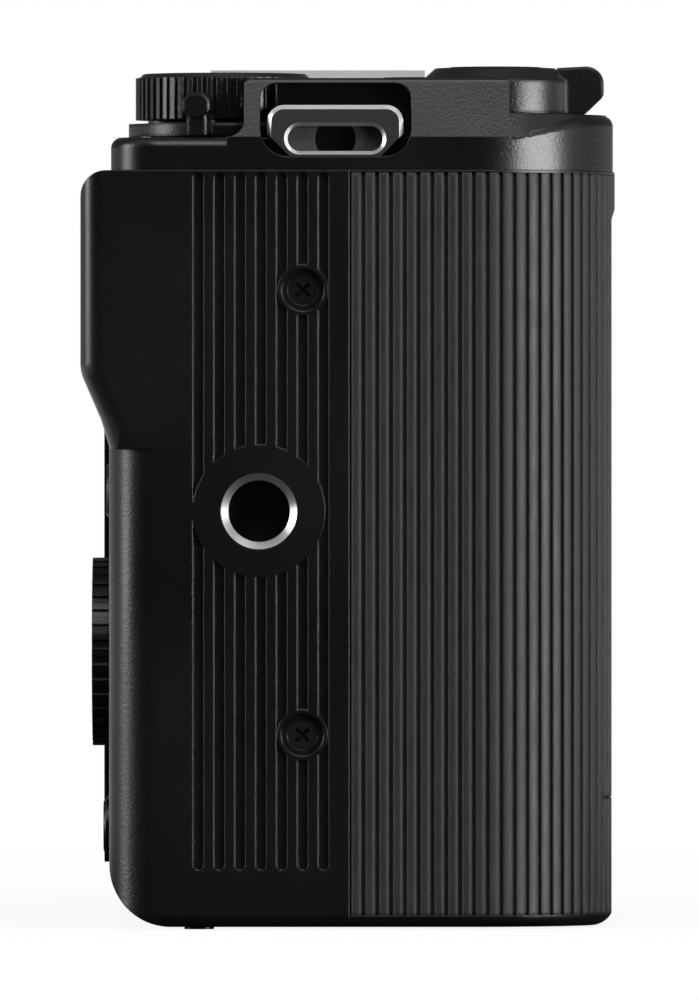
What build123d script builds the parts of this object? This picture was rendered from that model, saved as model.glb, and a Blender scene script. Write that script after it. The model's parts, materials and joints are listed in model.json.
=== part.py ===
from build123d import *
import math
import os

# Compact video style mirrorless camera body, millimetres.
# Grip at -X, front at -Y, top at +Z.
# The origin is the mouth of the base tripod thread, below the optical axis.

# Body envelope
GRIP_SIDE_X = -68.3
LEFT_SIDE_X = 51.0
GRIP_FRONT_Y = -30.14
FRONT_Y = -21.3
REAR_Y = 12.67
BASE_Z = 0.2
COVER_SPLIT_Y = -7.62
WALL = 1.8
GRIP_WALL = 2.9
REAR_CORNER_R = 4.0
FRONT_CORNER_R = 6.0
GRIP_ROOT_R = 5.0
GRIP_INNER_R = 6.0
GRIP_CORNER_R = 12.5
BASE_REAR_R = 5.3
BASE_FRONT_R = 2.1
BASE_EDGE_R = 1.0

# Lens mount, which sets the height of the body
MOUNT_R = 32.0
MOUNT_BASE_GAP = 2.3
THROAT_R = MOUNT_R - 3.4
TAB_THROAT_R = THROAT_R - 1.6
OPTICAL_Z = BASE_Z + MOUNT_BASE_GAP + MOUNT_R
LIGHT_BOX_R = THROAT_R - 0.3
LIGHT_BOX_ROOM = 1.2
SPLIT_Z = OPTICAL_Z + LIGHT_BOX_R + LIGHT_BOX_ROOM

# Tripod threads, quarter inch
THREAD_R = 2.6
THREAD_DEPTH = 5.5
BUSH_MOUTH_R = THREAD_R + 0.6
BUSH_FLANGE_R = THREAD_R + 1.8
BUSH_NECK = 1.4
BUSH_FLOOR = 0.8
BUSH_BOSS_WALL = 1.6
SIDE_THREAD_Z = 35.26
PAD_R = 10.5

# Battery behind the side thread, which sets the width of the grip
BATTERY_W = 14.0
BATTERY_H = 49.0
BATTERY_CORNER_R = 2.0
BOX_GAP = 0.2
BOX_WALL = 1.0
BOX_BUSH_GAP = 1.3
BATTERY_X0 = GRIP_SIDE_X + THREAD_DEPTH + BUSH_FLOOR + BOX_BUSH_GAP + BOX_WALL + BOX_GAP
BATTERY_X1 = BATTERY_X0 + BATTERY_W
GRIP_INNER_X = BATTERY_X1 + 0.5
GRIP_SLOPE_W = 9.0
GRIP_ROOT_X = GRIP_INNER_X + GRIP_SLOPE_W

# Clearances, and how far a cutter runs past what it cuts
FIT_GAP = 0.01
PRESS_GAP = 0.02
SEAT_GAP = 0.05
SMALL_GAP = 0.1
RUN_GAP = 0.3
PAST = 1.0
FAR = 5.0

# Rubber grip skin with its flutes, front lip and seam
RUBBER_T = 1.3
RUBBER_LOW_Z = BASE_Z + 1.0
RUBBER_TOP_Z = SPLIT_Z - 0.2
RUBBER_END_X = GRIP_INNER_X + 4.5
RUBBER_EDGE_GAP = 0.03
FLUTE_PITCH = 1.163
FLUTE_W = 0.36
FLUTE_DEPTH = 0.3
LIP_T = 0.3
LIP_H = 2.9
LIP_SLOPE_H = 0.9
SEAM_X = GRIP_SIDE_X + 7.3
SEAM_Z = 10.95
SEAM_H = 0.14
SEAM_DEPTH = 0.75

# Tongue of the front cover behind the side screws
TONGUE_X = GRIP_SIDE_X + WALL + SEAT_GAP
TONGUE_T = 1.45
TONGUE_Y0 = COVER_SPLIT_Y - 4.4
TONGUE_Y1 = COVER_SPLIT_Y + 6.1
TONGUE_Z0 = BASE_Z + 7.8
TONGUE_Z1 = SPLIT_Z - 4.0

# Thumb rest on the rear cover
THUMB_Y = REAR_Y + 2.41
THUMB_ROOT_Y = REAR_Y - REAR_CORNER_R - 0.6
THUMB_LOW_Z = SPLIT_Z - 22.3
THUMB_TOE = 1.2
THUMB_KNEE_Y = REAR_Y + 0.67
THUMB_KNEE_Z = THUMB_LOW_Z + 1.3
THUMB_FULL_Z = THUMB_LOW_Z + 5.3
THUMB_END_X = GRIP_SIDE_X + 25.3
THUMB_EDGE_R = 1.8
THUMB_RADII = [0, 0, 4.0, 3.0, 0, 0]
THUMB_TOP_R = 2.2
THUMB_RAMP_Z = THUMB_LOW_Z - 3.5
THUMB_RAMP_H = 10.0
THUMB_RAMP_RUN = 6.1

# Ribbed side panel
GROOVE_COUNT = 7
GROOVE_PITCH = 1.758
GROOVE_W = 0.88
GROOVE_DEPTH = 0.35
GROOVE_FIRST_Y = 5.12
GROOVE_LOW_Z = BASE_Z + 4.8
GROOVE_TOP_Z = SPLIT_Z - 0.2
THREAD_CLEAR_R = THREAD_R + 3.0

# Screws
SIDE_SCREW_YZ = [(-3.7, SPLIT_Z - 10.1), (-3.65, BASE_Z + 16.2)]
SIDE_SCREW_L = 4.6
SCREW_HEAD_R = 1.25
SCREW_HEAD_T = 0.8
SCREW_RECESS_R = 1.8
SCREW_RECESS_DEPTH = 0.55
SCREW_CLEAR_R = SCREW_RECESS_R + 0.35
SCREW_SHANK_R = 0.75
CROSS_L = 1.5
CROSS_W = 0.32
CROSS_DEPTH = 0.4

# Top cover
SHELF_Z = SPLIT_Z + 2.8
BLOCK_H = 5.0
BLOCK_TOP_Z = SHELF_Z + BLOCK_H
BLOCK_REAR_Y = 1.26
BLOCK_MID_REAR_Y = REAR_Y - 3.07
BLOCK_STEP_X = GRIP_SIDE_X + 22.3
TOP_INSET = 0.15
BLOCK_FRONT_Y = FRONT_Y + TOP_INSET
BLOCK_DRAFT = 1.4
BLOCK_HEEL_R = 1.5
FRONT_SHELF_Z = SHELF_Z + 2.0
SHELF_FRONT_Y = GRIP_FRONT_Y + TOP_INSET
BAND_EDGE_R = 0.9
BLOCK_EDGE_R = 0.45
BLOCK_REAR_R = 0.5
BLOCK_STEP_R = 2.0
SWOOSH_START_Y = -14.5
SWOOSH_END_Y = -28.2
SWOOSH_START_EASE = 7.0
SWOOSH_END_EASE = 2.8
TOP_SKIN = 1.6

# Main dial and power lever
DIAL_X = GRIP_SIDE_X + 10.8
DIAL_Y = 2.96
DIAL_R = 7.55
DIAL_H = 3.9
DIAL_BEVEL_H = 0.35
DIAL_RIBS = 56
DIAL_RIB_DEPTH = 0.22
DIAL_SHAFT_R = 1.6
DIAL_POCKET_GAP = 0.45
LEVER_R = DIAL_R + 0.59
LEVER_LOW_Z = SHELF_Z + 0.15
LEVER_TOP_Z = LEVER_LOW_Z + 1.1
LEVER_ANGLE = 166.0
DIAL_LOW_Z = LEVER_TOP_Z + 0.35
DIAL_TOP_Z = DIAL_LOW_Z + DIAL_H
TAB_R0 = DIAL_R + 0.4
TAB_L = 1.95
TAB_R1 = TAB_R0 + TAB_L
TAB_W = 2.35
TAB_ARM_W = 1.69
TAB_ARM_INSET = 0.3
TAB_BEVEL = 0.55
TAB_LOW_Z = DIAL_LOW_Z + 0.1
TAB_TOP_Z = TAB_LOW_Z + 2.0
SHAFT_LOW_Z = SPLIT_Z + 0.6

# Mode dial
MODE_X = GRIP_SIDE_X + 37.3
MODE_Y = 1.5
MODE_R = 7.0
MODE_H = 3.5
MODE_BEVEL_H = 0.4
MODE_RIBS = 48
MODE_RIB_DEPTH = 0.2
MODE_FLOOR_Z = BLOCK_TOP_Z - 3.2
MODE_LOW_Z = MODE_FLOOR_Z + RUN_GAP
MODE_TOP_Z = MODE_LOW_Z + MODE_H
MODE_WINDOW_HALF = 4.0

# Room inside the top cover under the raised block
ROOM_X0 = -44.0
ROOM_X1 = LEFT_SIDE_X - 4.0

# Zoom ring and shutter button
ZOOM_X = GRIP_SIDE_X + 13.3
ZOOM_Y = GRIP_FRONT_Y + 10.14
ZOOM_R = 6.45
ZOOM_LOW_Z = FRONT_SHELF_Z + 0.15
ZOOM_RIM_H = 2.8
ZOOM_BEVEL_H = 1.1
ZOOM_RIM_Z = ZOOM_LOW_Z + ZOOM_RIM_H
ZOOM_TOP_Z = ZOOM_RIM_Z + ZOOM_BEVEL_H
ZOOM_TOP_R = ZOOM_R - 1.35
ZOOM_POCKET_GAP = 0.6
ZOOM_TAB_REACH = 2.75
ZOOM_TAB_Y = ZOOM_Y - ZOOM_R - ZOOM_TAB_REACH
ZOOM_TAB_W = 5.0
ZOOM_TAB_TOP_Z = ZOOM_TOP_Z + 0.2
SHUTTER_R = 4.2
SHUTTER_TOP_Z = ZOOM_TOP_Z + 0.1
SHUTTER_CAP = 1.7
SHUTTER_LOW_Z = SPLIT_Z + 1.3
STEM_R = 1.4

# Record button on top
RECORD_X = GRIP_SIDE_X + 28.3
RECORD_Y = -13.5
RECORD_R = 3.3
TOP_BUTTON_RISE = 0.6

# Accessory shoe
SHOE_REAR_Y = 4.5
SHOE_FRONT_Y = -14.2
SHOE_SLOT_HALF = 9.35
SHOE_HALF_W = SHOE_SLOT_HALF + 1.35
SHOE_LIP_HALF = 6.25
SHOE_FLOOR_Z = BLOCK_TOP_Z - 1.6
SHOE_BASE_T = 0.6
SHOE_RECESS_Z = SHOE_FLOOR_Z - SHOE_BASE_T
SHOE_LIP_LOW_Z = SHOE_FLOOR_Z + 2.1
SHOE_TOP_Z = SHOE_LIP_LOW_Z + 1.4
SHOE_STOP_T = 1.2
SHOE_BASE_TAIL = 3.5
SHOE_PIN_Y = -5.0
SHOE_PIN_R = 1.3
SHOE_PAD_COUNT = 9
SHOE_PAD_PITCH = 1.2
SHOE_PAD_W = 0.7
SHOE_PAD_Y0 = -12.6
SHOE_PAD_L = 2.4
SHOE_PAD_T = 0.12

# Strap lugs and their recesses
LUG_REC_Y0 = -12.85
LUG_REC_Y1 = -0.08
LUG_REC_Z0 = SPLIT_Z + 1.15
LUG_REC_Z1 = BLOCK_TOP_Z - 0.45
LUG_REC_RADII = [2.4, 2.4, 1.4, 1.4]
LUG_REC_DEPTH = 3.4
LUG_REC_WALL = 1.4
LUG_T = 1.5
LUG_SET_BACK = 0.5
LUG_Y0 = LUG_REC_Y0 + 0.68
LUG_Y1 = LUG_REC_Y1 - 0.58
LUG_Z0 = LUG_REC_Z0 + SEAT_GAP
LUG_Z1 = LUG_Z0 + 4.3
LUG_CORNER_R = 1.45
LUG_CUT = 1.9
LUG_EDGE = 0.36
LUG_SLOT_EDGE = 0.3
LUG_SLOT_INSET = 1.75
LUG_SLOT_Y0 = LUG_Y0 + LUG_SLOT_INSET
LUG_SLOT_Y1 = LUG_Y1 - LUG_SLOT_INSET
LUG_SLOT_Z0 = LUG_Z0 + 0.42
LUG_SLOT_Z1 = LUG_SLOT_Z0 + 2.1
LUG_SLOT_R = (LUG_SLOT_Z1 - LUG_SLOT_Z0) / 2 - 0.025
LUG_PEG_R = 0.5
LUG_PEG_INSET = 1.2
LUG_PEG_Z = LUG_Z1 - 0.9
LUG_PEG_END = LUG_REC_DEPTH + 0.6

# Mount ring, its boss and its lock
BOSS_R = MOUNT_R + 1.2
BOSS_BORE_GAP = 0.2
BOSS_FRONT_Y = FRONT_Y - 4.1
BOSS_ROOT = 0.5
MOUNT_T = 2.2
FLANGE_Y = BOSS_FRONT_Y - MOUNT_T
MOUNT_TAB_T = 1.3
MOUNT_TAB_ANGLES = [0, 120, 240]
MOUNT_TAB_HALF = 16.0
FLANGE_DISTANCE = 20.0
MOUNT_SCREW_R = (MOUNT_R + THROAT_R) / 2
MOUNT_SCREW_ANGLES = [35, 145, 215, 325]
MOUNT_SCREW_L = 8.6
MOUNT_SCREW_SINK = 0.15
LOCK_PIN_R = 0.9
LOCK_PIN_RISE = 1.6
LOCK_PIN_TAIL = 2.2

# Light box with the step for the mount contacts
LIGHT_BOX_WALL = 1.2
LIGHT_BOX_REAR_Y = FLANGE_Y + 12.6
LIGHT_BOX_WINDOW_GAP = 1.0
STEP_HALF_W = 12.0
STEP_LOW = LIGHT_BOX_R - 0.8
STEP_TOP = LIGHT_BOX_R - 6.3
STEP_FRONT_Y = BOSS_FRONT_Y + 1.0
PAD_COUNT = 12
PAD_PITCH = 1.9
PAD_PIN_R = 0.5
PAD_PIN_L = 0.7
PAD_DROP = LIGHT_BOX_R - 4.7

# Shutter
SHUTTER_Y0 = LIGHT_BOX_REAR_Y + 0.3
SHUTTER_DEPTH = 3.8
SHUTTER_Y1 = SHUTTER_Y0 + SHUTTER_DEPTH
SHUTTER_PLATE_T = 0.6
SHUTTER_RIM = 0.8
WINDOW_W = 24.5
WINDOW_H = 17.0
SHUTTER_HALF_W = WINDOW_W / 2 + 5.25
BLADE_ROOM_HALF = WINDOW_W / 2 + 2.95
BLADE_HALF_W = BLADE_ROOM_HALF - 0.3
BLADE_COUNT = 3
BLADE_H = 7.6
BLADE_T = 0.3
BLADE_STEP = 0.7
BLADE_FIRST = 1.0
BLADE_PARK_GAP = 0.6
SHUTTER_FOOT = 2.0
SHUTTER_HEAD = 3.4

# Sensor
SENSOR_Y = FLANGE_Y + FLANGE_DISTANCE
SENSOR_W = 22.3
SENSOR_H = 14.9
SENSOR_DIE_T = 0.5
SENSOR_DIE_STEP = 0.4
SENSOR_PACK_RIM_W = 2.85
SENSOR_PACK_RIM_H = 3.05
SENSOR_PACK_W = SENSOR_W + 2 * SENSOR_PACK_RIM_W
SENSOR_PACK_H = SENSOR_H + 2 * SENSOR_PACK_RIM_H
SENSOR_FRAME_RIM = 4.0
SENSOR_FRAME_W = SENSOR_PACK_W + 2 * SENSOR_FRAME_RIM
SENSOR_FRAME_H = SENSOR_PACK_H + 2 * SENSOR_FRAME_RIM
SENSOR_GLASS_T = 0.7
SENSOR_GLASS_Y = SENSOR_Y - 1.6

# Heat plate and main board
HEAT_PLATE_Y = SENSOR_Y + 2.4
HEAT_PLATE_T = 1.0
BOARD_Y = HEAT_PLATE_Y + HEAT_PLATE_T + 1.8
BOARD_T = 1.2
CHIPS = [
    (-8.0, OPTICAL_Z + 5.5, 16.0, 1.6), (14.0, OPTICAL_Z + 7.5, 11.0, 1.2), (-20.0, OPTICAL_Z - 14.5, 9.0, 1.0)]
HEAT_BLOCK_XZ = (-2.0, OPTICAL_Z - 0.5)
HEAT_BLOCK_W = 16.0

# Battery depth and its lock
BATTERY_Y0 = GRIP_FRONT_Y + 5.94
BATTERY_Y1 = REAR_Y - 3.87
BATTERY_Z0 = BASE_Z + WALL + 1.2
BATTERY_LOCK_X = BATTERY_X0 + 5.5
BATTERY_LOCK_W = 4.0
BATTERY_LOCK_L = 1.0
BATTERY_LOCK_OVERLAP = 0.8
BATTERY_LOCK_TRAVEL = 1.0
BATTERY_LOCK_T = 0.8

# Card and its socket
CARD_X0 = BATTERY_X1 + BOX_GAP + BOX_WALL + 2.5
CARD_T = 2.1
CARD_W = 24.0
CARD_H = 32.0
CARD_CORNER = 3.0
CARD_Y0 = -16.0
CARD_GAP = 0.15
SOCKET_WALL = 0.9
SOCKET_LOW_Z = BATTERY_Z0 + 1.0
SOCKET_ROOF = 2.0

# Battery door
DOOR_X0 = BATTERY_X0 - 2.9
DOOR_Y0 = BATTERY_Y0 - 1.0
DOOR_Y1 = BATTERY_Y1 + 0.4
DOOR_RIM = 1.9
DOOR_EDGE_GAP = 0.25
DOOR_T = 1.6
HINGE_X = CARD_X0 + CARD_T + 2.1
HINGE_R = 0.9
HINGE_Z = BASE_Z + HINGE_R
HINGE_PIN_R = 0.45
HINGE_PIN_TAIL = 1.4
HINGE_Y0 = FRONT_Y + 1.3
HINGE_RELIEF = 1.5
HINGE_RELIEF_GAP = 0.4
LATCH_X0 = DOOR_X0 + 1.4
LATCH_L = 7.0
LATCH_HALF_W = 3.5
LATCH_T = 0.7
LATCH_TRAVEL = 2.5
LATCH_GAP = 0.2
LATCH_RIBS = 4
LATCH_RIB_PITCH = 1.4
LATCH_RIB_W = 0.6
LATCH_RIB_DEPTH = 0.25
LATCH_RIB_INSET = 0.9

# Base cover, its ledge, screws and feet
BASE_X0 = HINGE_X + HINGE_R + 0.6
BASE_RIM = 1.2
LEDGE_INSET = 4.6
LEDGE_OUTER = 1.0
LEDGE_T = 1.3
POCKET_H = WALL + 0.5
BASE_SCREW_SINK = 0.1
BASE_SCREW_L = 2.9
BASE_SCREW_ROOM = 4.0
BASE_SCREW_PAD_R = 1.9
BASE_SCREW_XY = [
    (BASE_X0 + 4.1, REAR_Y - BASE_REAR_R - 0.3),
    (LEFT_SIDE_X - 3.4, 5.0),
    (LEFT_SIDE_X - 3.4, FRONT_Y + 7.3),
    (BASE_X0 + 5.1, FRONT_Y + 2.6),
]
FOOT_W = 2.5
FOOT_R = 1.0
FOOT_Y = 3.8
FRONT_FOOT_Y = -17.5
FOOT_X0 = LEFT_SIDE_X - 15.0
FOOT_X1 = LEFT_SIDE_X - 5.0
GRIP_FOOT_X0 = GRIP_SIDE_X + 1.5
GRIP_FOOT_X1 = GRIP_SIDE_X + 4.7

# Monitor with its recess and hinge
RECESS_Y = REAR_Y - 4.57
MON_AXIS_X = LEFT_SIDE_X - 2.8
MON_AXIS_Y = RECESS_Y + 2.9
MON_X0 = GRIP_SIDE_X + 35.8
MON_X1 = MON_AXIS_X - 4.2
MON_Z0 = 5.0
MON_Z1 = SPLIT_Z - 6.0
MON_Y0 = RECESS_Y + RUN_GAP
MON_Y1 = REAR_Y + 0.83
MON_GAP = 0.5
MON_EDGE_R = 2.2
RECESS_Z0 = MON_Z0 - 0.7
RECESS_Z1 = MON_Z1 + 1.0
GLASS_RIM = 1.2
GLASS_R = 1.4
GLASS_T = 0.75
GLASS_SINK = 0.05
GLASS_POCKET = 0.85
PANEL_RIM_X0 = 5.0
PANEL_RIM_X1 = 5.5
PANEL_RIM_Z = 3.6
PANEL_R = 0.5
PANEL_SINK = 2.9
MON_KNUCKLE_R = 2.4
MON_PIN_R = 1.0
KNUCKLE_L = 7.0
KNUCKLE_INSET = 8.0
KNUCKLE_Z = [
    (MON_Z0 + KNUCKLE_INSET, MON_Z0 + KNUCKLE_INSET + KNUCKLE_L),
    (MON_Z1 - KNUCKLE_INSET - KNUCKLE_L, MON_Z1 - KNUCKLE_INSET),
]
ARM_T = 2.4
BRACKET_T = 0.45
BRACKET_X0 = MON_AXIS_X - 2.8
BRACKET_X1 = MON_AXIS_X + 2.2
BRACKET_TAIL = 3.0
BRACKET_WEB_HALF = 1.8

# Rear controls
REAR_DIAL_X = GRIP_SIDE_X + 18.3
REAR_DIAL_Z = 23.3
REAR_DIAL_R = 8.0
REAR_DIAL_Y = REAR_Y + 1.57
REAR_DIAL_RIBS = 37
REAR_DIAL_RIB_DEPTH = 0.25
REAR_POCKET_Y = REAR_Y - 0.97
SET_R = 4.6
SET_FACE_Y = REAR_Y + 1.08
SET_CAP = 1.2
SET_EDGE_R = 0.3
SMALL_BUTTON_R = 2.3
SMALL_BUTTON_Y = REAR_Y + 0.53
SMALL_BUTTON_EDGE = 0.2
BUTTON_XZ = {
    "menu_button": (GRIP_SIDE_X + 28.8, 37.0),
    "play_button": (GRIP_SIDE_X + 28.8, 8.6),
    "delete_button": (GRIP_SIDE_X + 8.3, 8.6),
}

# Side doors over the jacks and ports
SIDE_DOOR_Y0 = COVER_SPLIT_Y + 2.02
SIDE_DOOR_Y1 = RECESS_Y - 1.9
SIDE_DOOR_T = 1.4
SIDE_DOOR_PIN_R = 0.7
SIDE_DOOR_TIP_R = 0.42
SIDE_DOOR_TIP_L = 0.8
SIDE_DOOR_EDGE_GAP = 0.2
SIDE_DOOR_PIN_X = LEFT_SIDE_X - SIDE_DOOR_PIN_R
SIDE_DOORS_Z0 = BASE_Z + 6.8
SIDE_DOORS_Z1 = SPLIT_Z - 8.0
SIDE_DOOR_SPACE = 3.0
SIDE_DOOR_H = (SIDE_DOORS_Z1 - SIDE_DOORS_Z0 - SIDE_DOOR_SPACE) / 2
AUDIO_DOOR_Z = (SIDE_DOORS_Z1 - SIDE_DOOR_H, SIDE_DOORS_Z1)
DATA_DOOR_Z = (SIDE_DOORS_Z0, SIDE_DOORS_Z0 + SIDE_DOOR_H)
SIDE_DOORS_Z = {"audio_door": AUDIO_DOOR_Z, "data_door": DATA_DOOR_Z}
PORT_FLOOR_X = LEFT_SIDE_X - 3.6
PORT_FLOOR_T = 1.2
POCKET_RIM_Y0 = 1.2
POCKET_RIM_Y1 = 0.6
HOUSING_WALL = 1.4
HOUSING_Y0 = SIDE_DOOR_Y0 - 1.9
JACK_R = 3.0
JACK_BORE_R = 1.75
JACK_L = 12.0
PORT_Y = BOARD_Y + BOARD_T + JACK_R + 0.2
JACKS_Z = [AUDIO_DOOR_Z[1] - 6.0, AUDIO_DOOR_Z[0] + 6.0]
PORTS = [(DATA_DOOR_Z[0] + 5.0, 6.0, 2.6), (DATA_DOOR_Z[1] - 7.0, 6.6, 3.2)]
PORT_SHELL = 0.6
PORT_DEPTH = 8.0
PORT_TONGUE_T = 0.6
PORT_TONGUE_SHARE = 0.72

# Chassis plate and its posts
CHASSIS_Y0 = LIGHT_BOX_REAR_Y - 3.8
CHASSIS_T = 1.4
CHASSIS_X0 = HINGE_X + 2.8
CHASSIS_X1 = PORT_FLOOR_X - 1.4
CHASSIS_Z0 = BASE_Z + 4.4
CHASSIS_Z1 = SPLIT_Z - 2.0
CHASSIS_R = 3.0
CHASSIS_BUTTON_R = 2.0
POST_R = 1.7
POSTS_XZ = [
    (x, z) for x in (CHASSIS_X0 + 2.8, CHASSIS_X1 - 3.0) for z in (CHASSIS_Z0 + 4.9, CHASSIS_Z1 - 4.0)]
BOARD_X0 = CHASSIS_X0 + 0.8
BOARD_X1 = CHASSIS_X1 - 1.4
BOARD_Z0 = THREAD_DEPTH + BUSH_FLOOR + 0.2
BOARD_Z1 = CHASSIS_Z1 - 1.5
BOARD_R = 1.5
HEAT_Z0 = BOARD_Z0 + 1.5
HEAT_Z1 = BOARD_Z1 - 0.5
HEAT_R = 2.0

# Front buttons and lamp
RELEASE_R = 5.2
RELEASE_RISE = 2.6
RELEASE_ROOT = 0.4
RELEASE_XZ = (BOSS_R + 7.8, 33.0)
FRONT_RECORD_R = 3.0
FRONT_RECORD_RISE = 0.6
FRONT_RECORD_ROOT = 1.5
FRONT_RECORD_XZ = (LEFT_SIDE_X - 8.5, BASE_Z + 11.8)
TALLY_R = 1.6
TALLY_T = 1.0
TALLY_XZ = (LEFT_SIDE_X - 9.0, SPLIT_Z - 10.0)

# Microphones under the top cover
MIC_XY = [(24.0, BLOCK_FRONT_Y + 7.15), (38.0, BLOCK_FRONT_Y + 7.15)]
MIC_R = 2.0
MIC_T = 1.5

nodes = {}
SIDES = ((GRIP_SIDE_X, 1), (LEFT_SIDE_X, -1))


def block(x0, x1, y0, y1, z0, z1):
    """A box given by its limits."""
    centre = Pos((x0 + x1) / 2, (y0 + y1) / 2, (z0 + z1) / 2)
    return centre * Box(x1 - x0, y1 - y0, z1 - z0)


def rod_x(x0, x1, y, z, r):
    return Pos((x0 + x1) / 2, y, z) * Rot(0, 90, 0) * Cylinder(r, x1 - x0)


def rod_y(x, z, y0, y1, r):
    return Pos(x, (y0 + y1) / 2, z) * Rot(90, 0, 0) * Cylinder(r, y1 - y0)


def rod_z(x, y, z0, z1, r):
    return Pos(x, y, (z0 + z1) / 2) * Cylinder(r, z1 - z0)


def slab_x(sketch, x0, x1):
    """A sketch in Y and Z, made solid between two X planes."""
    return extrude(Plane.YZ.offset(x0) * sketch, x1 - x0)


def slab_y(sketch, y0, y1):
    """A sketch in X and Z, made solid between two Y planes."""
    return extrude(Plane.XZ.offset(-y1) * sketch, y1 - y0)


def slab_z(sketch, z0, z1):
    return extrude(Pos(0, 0, z0) * sketch, z1 - z0)


def rounded(x0, x1, y0, y1, r):
    """A rounded rectangle sketch given by its limits."""
    return Pos((x0 + x1) / 2, (y0 + y1) / 2) * RectangleRounded(x1 - x0, y1 - y0, r)


def knurled(radius, ribs, depth):
    """A round sketch with evenly spaced notches in its rim."""
    notch = Pos(radius, 0) * Rectangle(2 * depth, math.pi * radius / ribs)
    return Circle(radius) - PolarLocations(0, ribs) * notch


def plan_face(inset=0.0):
    """The outline of the body seen from above, drawn in by an inset."""
    points = [
        (GRIP_SIDE_X, REAR_Y),
        (LEFT_SIDE_X, REAR_Y),
        (LEFT_SIDE_X, FRONT_Y),
        (GRIP_ROOT_X, FRONT_Y),
        (GRIP_INNER_X, GRIP_FRONT_Y),
        (GRIP_SIDE_X, GRIP_FRONT_Y),
    ]
    radii = [
        REAR_CORNER_R, REAR_CORNER_R, FRONT_CORNER_R,
        GRIP_ROOT_R, GRIP_INNER_R, GRIP_CORNER_R,
    ]
    face = make_face(FilletPolyline(*points, radius=radii, close=True))
    return offset(face, -inset) if inset else face


def body_solid(inset=0.0):
    """The body below the top cover, drawn in by an inset."""
    prism = slab_z(plan_face(inset), BASE_Z + inset, SPLIT_Z)
    if not inset:
        prism = fillet(prism.edges().group_by(Axis.Z)[0], BASE_EDGE_R)
    top = SPLIT_Z + 4 * FAR
    points = [(REAR_Y, BASE_Z), (REAR_Y, top), (GRIP_FRONT_Y, top), (GRIP_FRONT_Y, BASE_Z)]
    side = make_face(FilletPolyline(*points, radius=[BASE_REAR_R, 0, 0, BASE_FRONT_R], close=True))
    if inset:
        side = offset(side, -inset)
    return prism & slab_x(side, GRIP_SIDE_X - PAST, LEFT_SIDE_X + PAST)


def behind(y):
    """The space behind a Y plane."""
    return block(
        GRIP_SIDE_X - FAR, LEFT_SIDE_X + FAR, y, REAR_Y + 4 * FAR, BASE_Z - FAR, BLOCK_TOP_Z + 4 * FAR)


def in_front(y):
    return block(
        GRIP_SIDE_X - FAR, LEFT_SIDE_X + FAR, GRIP_FRONT_Y - 4 * FAR, y, BASE_Z - FAR, BLOCK_TOP_Z + 4 * FAR)


def cross_screw_x(y, z, head_x, length):
    """A cross head screw along X, its head at the low end."""
    screw = rod_x(head_x, head_x + SCREW_HEAD_T, y, z, SCREW_HEAD_R)
    screw += rod_x(head_x + SCREW_HEAD_T, head_x + length, y, z, SCREW_SHANK_R)
    for turn in (45, -45):
        screw -= Pos(head_x, y, z) * Rot(turn, 0, 0) * Box(2 * CROSS_DEPTH, CROSS_L, CROSS_W)
    return screw


def button_z(x, y, top, low, r, edge):
    cap = rod_z(x, y, low, top, r)
    return chamfer(cap.edges().group_by(Axis.Z)[-1], edge)


def button_y(x, z, low, face, r, edge):
    cap = rod_y(x, z, low, face, r)
    return chamfer(cap.edges().group_by(Axis.Y)[-1], edge)


def on_mount(angle):
    """A point on the screw circle of the mount."""
    turn = math.radians(angle)
    return MOUNT_SCREW_R * math.cos(turn), OPTICAL_Z + MOUNT_SCREW_R * math.sin(turn)


lock_x, lock_z = on_mount(0)

# Shell that the covers are cut from
grip_side_room = body_solid(GRIP_WALL)
main_room = behind(COVER_SPLIT_Y) + block(
    RUBBER_END_X, LEFT_SIDE_X, FRONT_Y - PAST, REAR_Y, BASE_Z, SPLIT_Z + PAST)
cavity = grip_side_room + (body_solid(WALL) & main_room)
outer = body_solid()
shell = outer - cavity

# Base cover region and the ledge it is screwed to
ledge_z0 = BASE_Z + DOOR_T + SEAT_GAP
base_pocket = slab_z(plan_face(BASE_RIM), -PAST, ledge_z0)
base_pocket += slab_z(plan_face(LEDGE_INSET), -PAST, BASE_Z + POCKET_H)
base_pocket &= block(BASE_X0 - SEAT_GAP, LEFT_SIDE_X, GRIP_FRONT_Y, REAR_Y, -PAST, BASE_Z + POCKET_H + PAST)
rear_pad = rod_z(*BASE_SCREW_XY[0], ledge_z0, ledge_z0 + LEDGE_T, BASE_SCREW_PAD_R)
base_pocket -= rear_pad
ledge = slab_z(plan_face(LEDGE_OUTER) - plan_face(LEDGE_INSET), ledge_z0, ledge_z0 + LEDGE_T)
ledge += rear_pad
ledge &= block(BASE_X0, LEFT_SIDE_X, GRIP_FRONT_Y, REAR_Y, BASE_Z, ledge_z0 + LEDGE_T + PAST)
shell = shell + (ledge & outer) - base_pocket

# Battery door opening, hinge barrel room and pin bore
door_low_z = BASE_Z - 2 * PAST
door_room_z = BASE_Z + GRIP_WALL + PAST
door_opening = block(DOOR_X0, HINGE_X, HINGE_Y0, DOOR_Y1, door_low_z, door_room_z)
door_opening += block(
    DOOR_X0, HINGE_X - HINGE_RELIEF + HINGE_RELIEF_GAP, DOOR_Y0, HINGE_Y0 + PAST, door_low_z, door_room_z)
door_opening &= slab_z(plan_face(DOOR_RIM), door_low_z, door_room_z)
door_opening += rod_y(HINGE_X, HINGE_Z, HINGE_Y0, DOOR_Y1, HINGE_R + SMALL_GAP)
door_opening += block(HINGE_X, HINGE_X + HINGE_R + SMALL_GAP, HINGE_Y0, DOOR_Y1, door_low_z, HINGE_Z)
pin_bore = rod_y(
    HINGE_X, HINGE_Z, HINGE_Y0 - HINGE_PIN_TAIL - SMALL_GAP, DOOR_Y1 + HINGE_PIN_TAIL + SMALL_GAP,
    HINGE_PIN_R + FIT_GAP)
shell = shell - door_opening - pin_bore

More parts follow.
